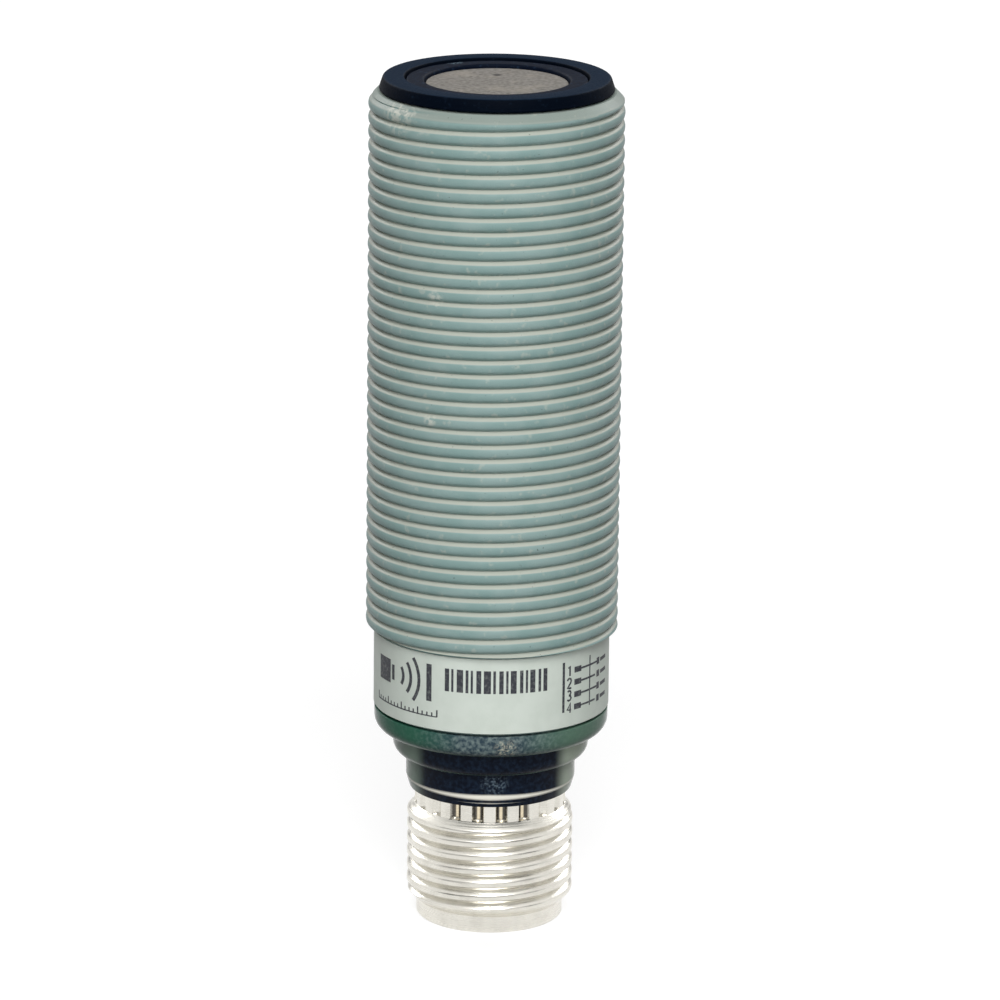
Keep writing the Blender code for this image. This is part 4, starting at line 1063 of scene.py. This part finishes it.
def wound_copper():
    """Enamelled copper wire of 0.25 mm, wound side by side across the drum: bright orange ridges, painted
    darker between the turns as painted shade.
    """
    material, tree, place = begin_finish("enamelled_copper_winding")
    depth = add(tree, "ShaderNodeSeparateXYZ", {0: place}, output="Y")
    phase = add(tree, "ShaderNodeMath", {0: depth, 1: 2 * math.pi / 0.25}, operation="MULTIPLY")
    wave = add(tree, "ShaderNodeMath", {0: phase}, operation="SINE")
    # Painted shade and highlight: dark between the turns and bright on their tops
    turns = add(tree, "ShaderNodeMapRange", {0: wave, 1: -1.0, 2: 1.0})
    skin = laid_over(tree, linear("6B3416"), linear("D48A4A"), turns)
    bump = add(tree, "ShaderNodeBump", {"Height": turns, "Distance": 0.08 * MM})
    sockets = {"Base Color": skin, "Metallic": 1.0, "Roughness": 0.3, "Normal": bump}
    return end_finish(material, linear("B4662F"), sockets)


def open_cell_foam():
    """Open-cell damping foam: dark and dull, with pores of 0.4 mm painted darker inside as painted shade."""
    material, tree, place = begin_finish("open_cell_foam")
    cells = {"Vector": place, "Scale": 1 / 0.4}
    walls = add(tree, "ShaderNodeTexVoronoi", cells, output="Distance", feature="F1")
    # Painted shade: the pores are darker inside
    pores = add(tree, "ShaderNodeMapRange", {0: walls, 1: 0.1, 2: 0.6})
    skin = laid_over(tree, linear("17181A"), linear("55575B"), pores)
    bump = add(tree, "ShaderNodeBump", {"Height": pores, "Distance": 0.1 * MM})
    return end_finish(material, linear("3C3D40"), {"Base Color": skin, "Roughness": 0.95, "Normal": bump})


def clear_resin():
    """Clear epoxy window of a lamp, cast: glossy, with a milky cloud of phosphor in it."""
    material, tree, place = begin_finish("clear_lamp_resin")
    cloud = patches(tree, place, 0.3, 0.3, 0.7, 2.0)
    skin = laid_over(tree, linear("C6D6AE"), linear("E9F0DA"), cloud)
    return end_finish(material, linear("D6E3C4"), {"Base Color": skin, "Roughness": 0.12})


def package_box(node, legs):
    """Middle of a package and half its moulded body's size across and along the board."""
    low, high = (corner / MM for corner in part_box(node))
    across = (high.x - low.x) / 2 - (LEG_REACH if "x" in legs else 0)
    along = (high.z - low.z) / 2 - (LEG_REACH if "z" in legs else 0)
    return (low + high) / 2, across, along


def dress_boards(colours):
    """Finishes of both boards and of the components on them."""
    near, chip_end, tantalum_end, lid_height = 0.02, 0.41, 0.15, 0.3
    core_wall, winding_half = 0.75, 0.6
    mask, edge = masked_laminate(colours), sawn_laminate()
    dress("main_board", [mask, edge], lambda middle, normal: abs(normal.y) < 0.5)
    dress("terminal_board", [mask, edge], lambda middle, normal: abs(normal.z) < 0.5)
    tin = turned_metal("tinned_leads", linear("C9C6BE"), 0.28, 0.42)
    black = moulded_case("moulded_chip_case", linear("1D1E21"))
    packages = {
        "receive_amplifier": "x",
        "output_driver": "x",
        "signal_processor": "xz",
        "voltage_regulator": "z",
    }
    for node, legs in packages.items():
        centre, across, along = package_box(node, legs)

        def is_leg(middle, normal, centre=centre, across=across, along=along):
            return abs(middle.x - centre.x) > across + near or abs(middle.z - centre.z) > along + near

        dress(node, [black, tin], is_leg)
    ceramic = moulded_case("fired_ceramic_chip", linear("A88D66"))
    for node in ("filter_capacitor_upper", "filter_capacitor_lower", "thermistor"):
        half = package_box(node, "")[1]
        dress(node, [ceramic, tin], lambda middle, normal, half=half: abs(middle.x) > half - chip_end)
    base = moulded_case("fired_ceramic_base", linear("6E6353"))
    lid = turned_metal("plated_crystal_lid", linear("D2CDB9"), 0.2, 0.3)
    lid_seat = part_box("timing_crystal")[1].y / MM - lid_height
    dress("timing_crystal", [base, lid], lambda middle, normal: middle.y > lid_seat)
    ochre = moulded_case("moulded_tantalum_case", linear("C58F34"))
    half = package_box("supply_capacitor", "")[1]
    dress("supply_capacitor", [ochre, tin], lambda middle, normal: abs(middle.x) > half - tantalum_end)
    ferrite = moulded_case("sintered_ferrite", linear("2E2F31"))
    centre, wide, _ = package_box("drive_transformer", "")

    def in_winding(middle, normal):
        round_axis = math.hypot(middle.x - centre.x, middle.z - centre.z) > wide - core_wall
        return round_axis and abs(middle.y - centre.y) < winding_half and abs(normal.y) < 0.5

    dress("drive_transformer", [ferrite, wound_copper()], in_winding)


def dress_lamps():
    """Status lamps: a white moulded case with a clear resin window that looks outwards."""
    case, resin = moulded_case("white_lamp_case", linear("E4E2DA")), clear_resin()

    def is_window(middle, normal):
        return Vector((middle.x, middle.y)).normalized().dot(Vector((normal.x, normal.y))) > 0.8

    for number in range(1, 5):
        dress(f"status_lamp_{number}", [case, resin], is_window)


def dress_transducer():
    """Piezo disc with its fired silver electrode, the foam behind it and the two leads."""
    dress("piezo_disc", [turned_metal("fired_silver_electrode", linear("CFCBC0"), 0.3, 0.45)])
    dress("backing_foam", [open_cell_foam()])
    strands = turned_metal("tinned_copper_strands", linear("C2BBAB"), 0.25, 0.4)
    for node in ("transducer_lead_left", "transducer_lead_right"):
        dress(node, [strands])


def seen_directly(tree):
    """1 for the camera, mirror and glass rays that show the background, and 0 for soft light."""
    shown = add(tree, "ShaderNodeLightPath", output="Is Camera Ray")
    for output in ("Is Glossy Ray", "Is Transmission Ray"):
        other = add(tree, "ShaderNodeLightPath", output=output)
        shown = add(tree, "ShaderNodeMath", {0: shown, 1: other}, operation="MAXIMUM")
    return shown


def make_floor(stage):
    """Pale floor, 12 m wide. It looks white, keeps the soft shadow, and throws a little light upwards."""
    half = 6.0
    corners = [(-half, -half, 0), (half, -half, 0), (half, half, 0), (-half, half, 0)]
    mesh = bpy.data.meshes.new("floor")
    mesh.from_pydata(corners, [], [(0, 1, 2, 3)])
    floor = bpy.data.objects.new("floor", mesh)
    bpy.context.scene.collection.objects.link(floor)
    material = bpy.data.materials.new("white_studio_paper")
    material.use_nodes = True
    tree = material.node_tree
    tree.nodes.clear()
    glow = add(tree, "ShaderNodeEmission", {"Color": WHITE, "Strength": stage.floor_glow})
    paper = add(tree, "ShaderNodeBsdfDiffuse", {"Color": (stage.floor_shadow,) * 3})
    shown = add(tree, "ShaderNodeAddShader", {0: glow, 1: paper})
    bounce = add(tree, "ShaderNodeBsdfDiffuse", {"Color": (stage.floor_bounce,) * 3})
    both = add(tree, "ShaderNodeMixShader", {0: seen_directly(tree), 1: bounce, 2: shown})
    add(tree, "ShaderNodeOutputMaterial", {"Surface": both})
    mesh.materials.append(material)


def make_sky(stage):
    """White surroundings, with dim patches in front and behind that show in mirror rays alone.

    The soft light comes from a weaker, even sky.
    """
    world = bpy.data.worlds.new("studio")
    bpy.context.scene.world = world
    world.use_nodes = True
    tree = world.node_tree
    tree.nodes.clear()
    ray = add(tree, "ShaderNodeTexCoord", output="Generated")
    mirrored = add(tree, "ShaderNodeLightPath", output="Is Glossy Ray")
    shown = WHITE
    for way, wide, narrow, shade in DIM_PATCHES:
        inputs = {0: ray, 1: Vector(way).normalized()}
        near = add(tree, "ShaderNodeVectorMath", inputs, output="Value", operation="DOT_PRODUCT")
        limits = {0: near, 1: math.cos(math.radians(wide)), 2: math.cos(math.radians(narrow))}
        patch = add(tree, "ShaderNodeMapRange", limits, interpolation_type="SMOOTHSTEP")
        shown = laid_over(tree, shown, (shade,) * 3, patch, mirrored)
    background = add(tree, "ShaderNodeBackground", {"Color": shown, "Strength": 1.0})
    soft = add(tree, "ShaderNodeBackground", {"Color": WHITE, "Strength": stage.sky_strength})
    both = add(tree, "ShaderNodeMixShader", {0: seen_directly(tree), 1: soft, 2: background})
    add(tree, "ShaderNodeOutputWorld", {"Surface": both})


def add_lamp(name, place, size, power, mirrored=True):
    """A soft square lamp that points at the middle of the sensor, its place and size in metres."""
    data = bpy.data.lights.new(name, "AREA")
    data.size = size
    data.energy = power
    lamp = bpy.data.objects.new(name, data)
    lamp.location = place
    lamp.rotation_euler = (AIM - Vector(place)).to_track_quat("-Z", "Y").to_euler()
    lamp.visible_glossy = mirrored
    bpy.context.scene.collection.objects.link(lamp)


def make_camera(stage):
    """The photograph's view: a long lens, a little above the sensor."""
    elevation, roll = stage.camera_elevation, stage.camera_roll
    back = Vector((0, -math.cos(elevation), math.sin(elevation)))
    right, up = Vector((1, 0, 0)), Vector((0, math.sin(elevation), math.cos(elevation)))
    across = right * math.cos(roll) + up * math.sin(roll)
    upward = up * math.cos(roll) - right * math.sin(roll)
    data = bpy.data.cameras.new("camera")
    data.lens = LENS
    data.sensor_fit = "HORIZONTAL"
    data.sensor_width = FILM_WIDTH
    data.clip_start = 0.01
    data.clip_end = 20.0
    camera = bpy.data.objects.new("camera", data)
    turned = Matrix((across, upward, back)).transposed().to_4x4()
    camera.matrix_world = Matrix.Translation(AIM + back * stage.camera_distance) @ turned
    bpy.context.scene.collection.objects.link(camera)
    bpy.context.scene.camera = camera


def make_stage(stage):
    """Floor, sky, lamps and camera. The low lamp gives soft light alone, and no glints on the plug."""
    make_floor(stage)
    make_sky(stage)
    add_lamp("key", (0.02, -0.52, 0.50), 0.36, stage.key_power)
    add_lamp("low_front", (0.0, -0.62, 0.06), 0.25, stage.fill_power, mirrored=False)
    add_lamp("back_left", (-0.42, 0.60, 0.48), 0.4, stage.back_power)
    add_lamp("back_right", (0.42, 0.60, 0.48), 0.4, stage.back_power)
    make_camera(stage)
    bpy.context.scene.view_settings.view_transform = "Standard"


class SENSOR_OT_barrel(Operator):
    """Build the threaded barrel"""

    bl_idname = "sensor.barrel"
    bl_label = "Threaded Barrel"

    def execute(self, context):
        scene = context.scene
        make_barrel(scene.sensor_threads, scene.sensor_walls, scene.sensor_colours)
        return {"FINISHED"}


class SENSOR_OT_label(Operator):
    """Wrap the label film round the barrel's plain end"""

    bl_idname = "sensor.label"
    bl_label = "Label Film"

    def execute(self, context):
        make_label(context.scene.sensor_walls, context.scene.sensor_colours)
        return {"FINISHED"}


class SENSOR_OT_print(Operator):
    """Print plain symbols, bars and numbers on the label"""

    bl_idname = "sensor.label_print"
    bl_label = "Label Print"

    def execute(self, context):
        make_print(context.scene.sensor_walls, context.scene.sensor_colours)
        return {"FINISHED"}


class SENSOR_OT_front_cap(Operator):
    """Build the front cap with its raised rim"""

    bl_idname = "sensor.front_cap"
    bl_label = "Front Cap"

    def execute(self, context):
        make_front_cap(context.scene.sensor_walls, context.scene.sensor_colours)
        return {"FINISHED"}


class SENSOR_OT_sensing_face(Operator):
    """Build the sensing disc and the soft ring round it"""

    bl_idname = "sensor.sensing_face"
    bl_label = "Sensing Face"

    def execute(self, context):
        make_sensing_face(context.scene.sensor_colours)
        return {"FINISHED"}


class SENSOR_OT_rear_cap(Operator):
    """Build the smoked rear cap"""

    bl_idname = "sensor.rear_cap"
    bl_label = "Rear Cap"

    def execute(self, context):
        make_rear_cap(context.scene.sensor_walls, context.scene.sensor_colours)
        return {"FINISHED"}


class SENSOR_OT_plug_shell(Operator):
    """Build the threaded metal shell of the plug"""

    bl_idname = "sensor.plug_shell"
    bl_label = "Plug Shell"

    def execute(self, context):
        scene = context.scene
        make_plug_shell(scene.sensor_threads, scene.sensor_walls, scene.sensor_colours)
        return {"FINISHED"}


class SENSOR_OT_contact_carrier(Operator):
    """Build the plug's keyed insulator"""

    bl_idname = "sensor.contact_carrier"
    bl_label = "Contact Carrier"

    def execute(self, context):
        make_contact_carrier()
        return {"FINISHED"}


class SENSOR_OT_contact_pins(Operator):
    """Build the four plated pins"""

    bl_idname = "sensor.contact_pins"
    bl_label = "Contact Pins"

    def execute(self, context):
        make_contact_pins(context.scene.sensor_colours)
        return {"FINISHED"}


class SENSOR_OT_seal_rings(Operator):
    """Build the sealing rings of both caps"""

    bl_idname = "sensor.seal_rings"
    bl_label = "Sealing Rings"

    def execute(self, context):
        make_seal_rings()
        return {"FINISHED"}


class SENSOR_OT_boards(Operator):
    """Give the boards and their components their finishes"""

    bl_idname = "sensor.boards"
    bl_label = "Boards"

    def execute(self, context):
        dress_boards(context.scene.sensor_colours)
        return {"FINISHED"}


class SENSOR_OT_lamps(Operator):
    """Give the status lamps their finishes"""

    bl_idname = "sensor.lamps"
    bl_label = "Status Lamps"

    def execute(self, context):
        dress_lamps()
        return {"FINISHED"}


class SENSOR_OT_transducer(Operator):
    """Give the piezo disc, its foam and its leads their finishes"""

    bl_idname = "sensor.transducer"
    bl_label = "Transducer"

    def execute(self, context):
        dress_transducer()
        return {"FINISHED"}


class SENSOR_OT_stage(Operator):
    """Set up the floor, the light and the camera"""

    bl_idname = "sensor.stage"
    bl_label = "Stage"

    def execute(self, context):
        make_stage(context.scene.sensor_stage)
        return {"FINISHED"}


OPERATORS = (
    SENSOR_OT_barrel,
    SENSOR_OT_label,
    SENSOR_OT_print,
    SENSOR_OT_front_cap,
    SENSOR_OT_sensing_face,
    SENSOR_OT_rear_cap,
    SENSOR_OT_plug_shell,
    SENSOR_OT_contact_carrier,
    SENSOR_OT_contact_pins,
    SENSOR_OT_seal_rings,
    SENSOR_OT_boards,
    SENSOR_OT_lamps,
    SENSOR_OT_transducer,
    SENSOR_OT_stage,
)
SETTINGS = {
    "sensor_threads": SensorThreads,
    "sensor_walls": SensorWalls,
    "sensor_colours": SensorColours,
    "sensor_stage": SensorStage,
}


class SENSOR_PT_looks(Panel):
    """The sensor's pieces, its sizes and its colours"""

    bl_idname = "SENSOR_PT_looks"
    bl_label = "Ultrasonic Sensor"
    bl_space_type = "VIEW_3D"
    bl_region_type = "UI"
    bl_category = "Sensor"

    def draw(self, context):
        for operator in OPERATORS:
            self.layout.operator(operator.bl_idname)
        for key, group in SETTINGS.items():
            box = self.layout.box()
            box.label(text=group.__name__)
            for setting in group.__annotations__:
                box.prop(getattr(context.scene, key), setting)


def register():
    for group in SETTINGS.values():
        bpy.utils.register_class(group)
    for key, group in SETTINGS.items():
        setattr(bpy.types.Scene, key, PointerProperty(type=group))
    for kind in (*OPERATORS, SENSOR_PT_looks):
        bpy.utils.register_class(kind)


def unregister():
    for kind in reversed((*OPERATORS, SENSOR_PT_looks)):
        bpy.utils.unregister_class(kind)
    for key, group in SETTINGS.items():
        delattr(bpy.types.Scene, key)
        bpy.utils.unregister_class(group)


def main():
    register()
    for operator in OPERATORS:
        group, name = operator.bl_idname.split(".")
        getattr(getattr(bpy.ops, group), name)()


if __name__ == "__main__":
    main()
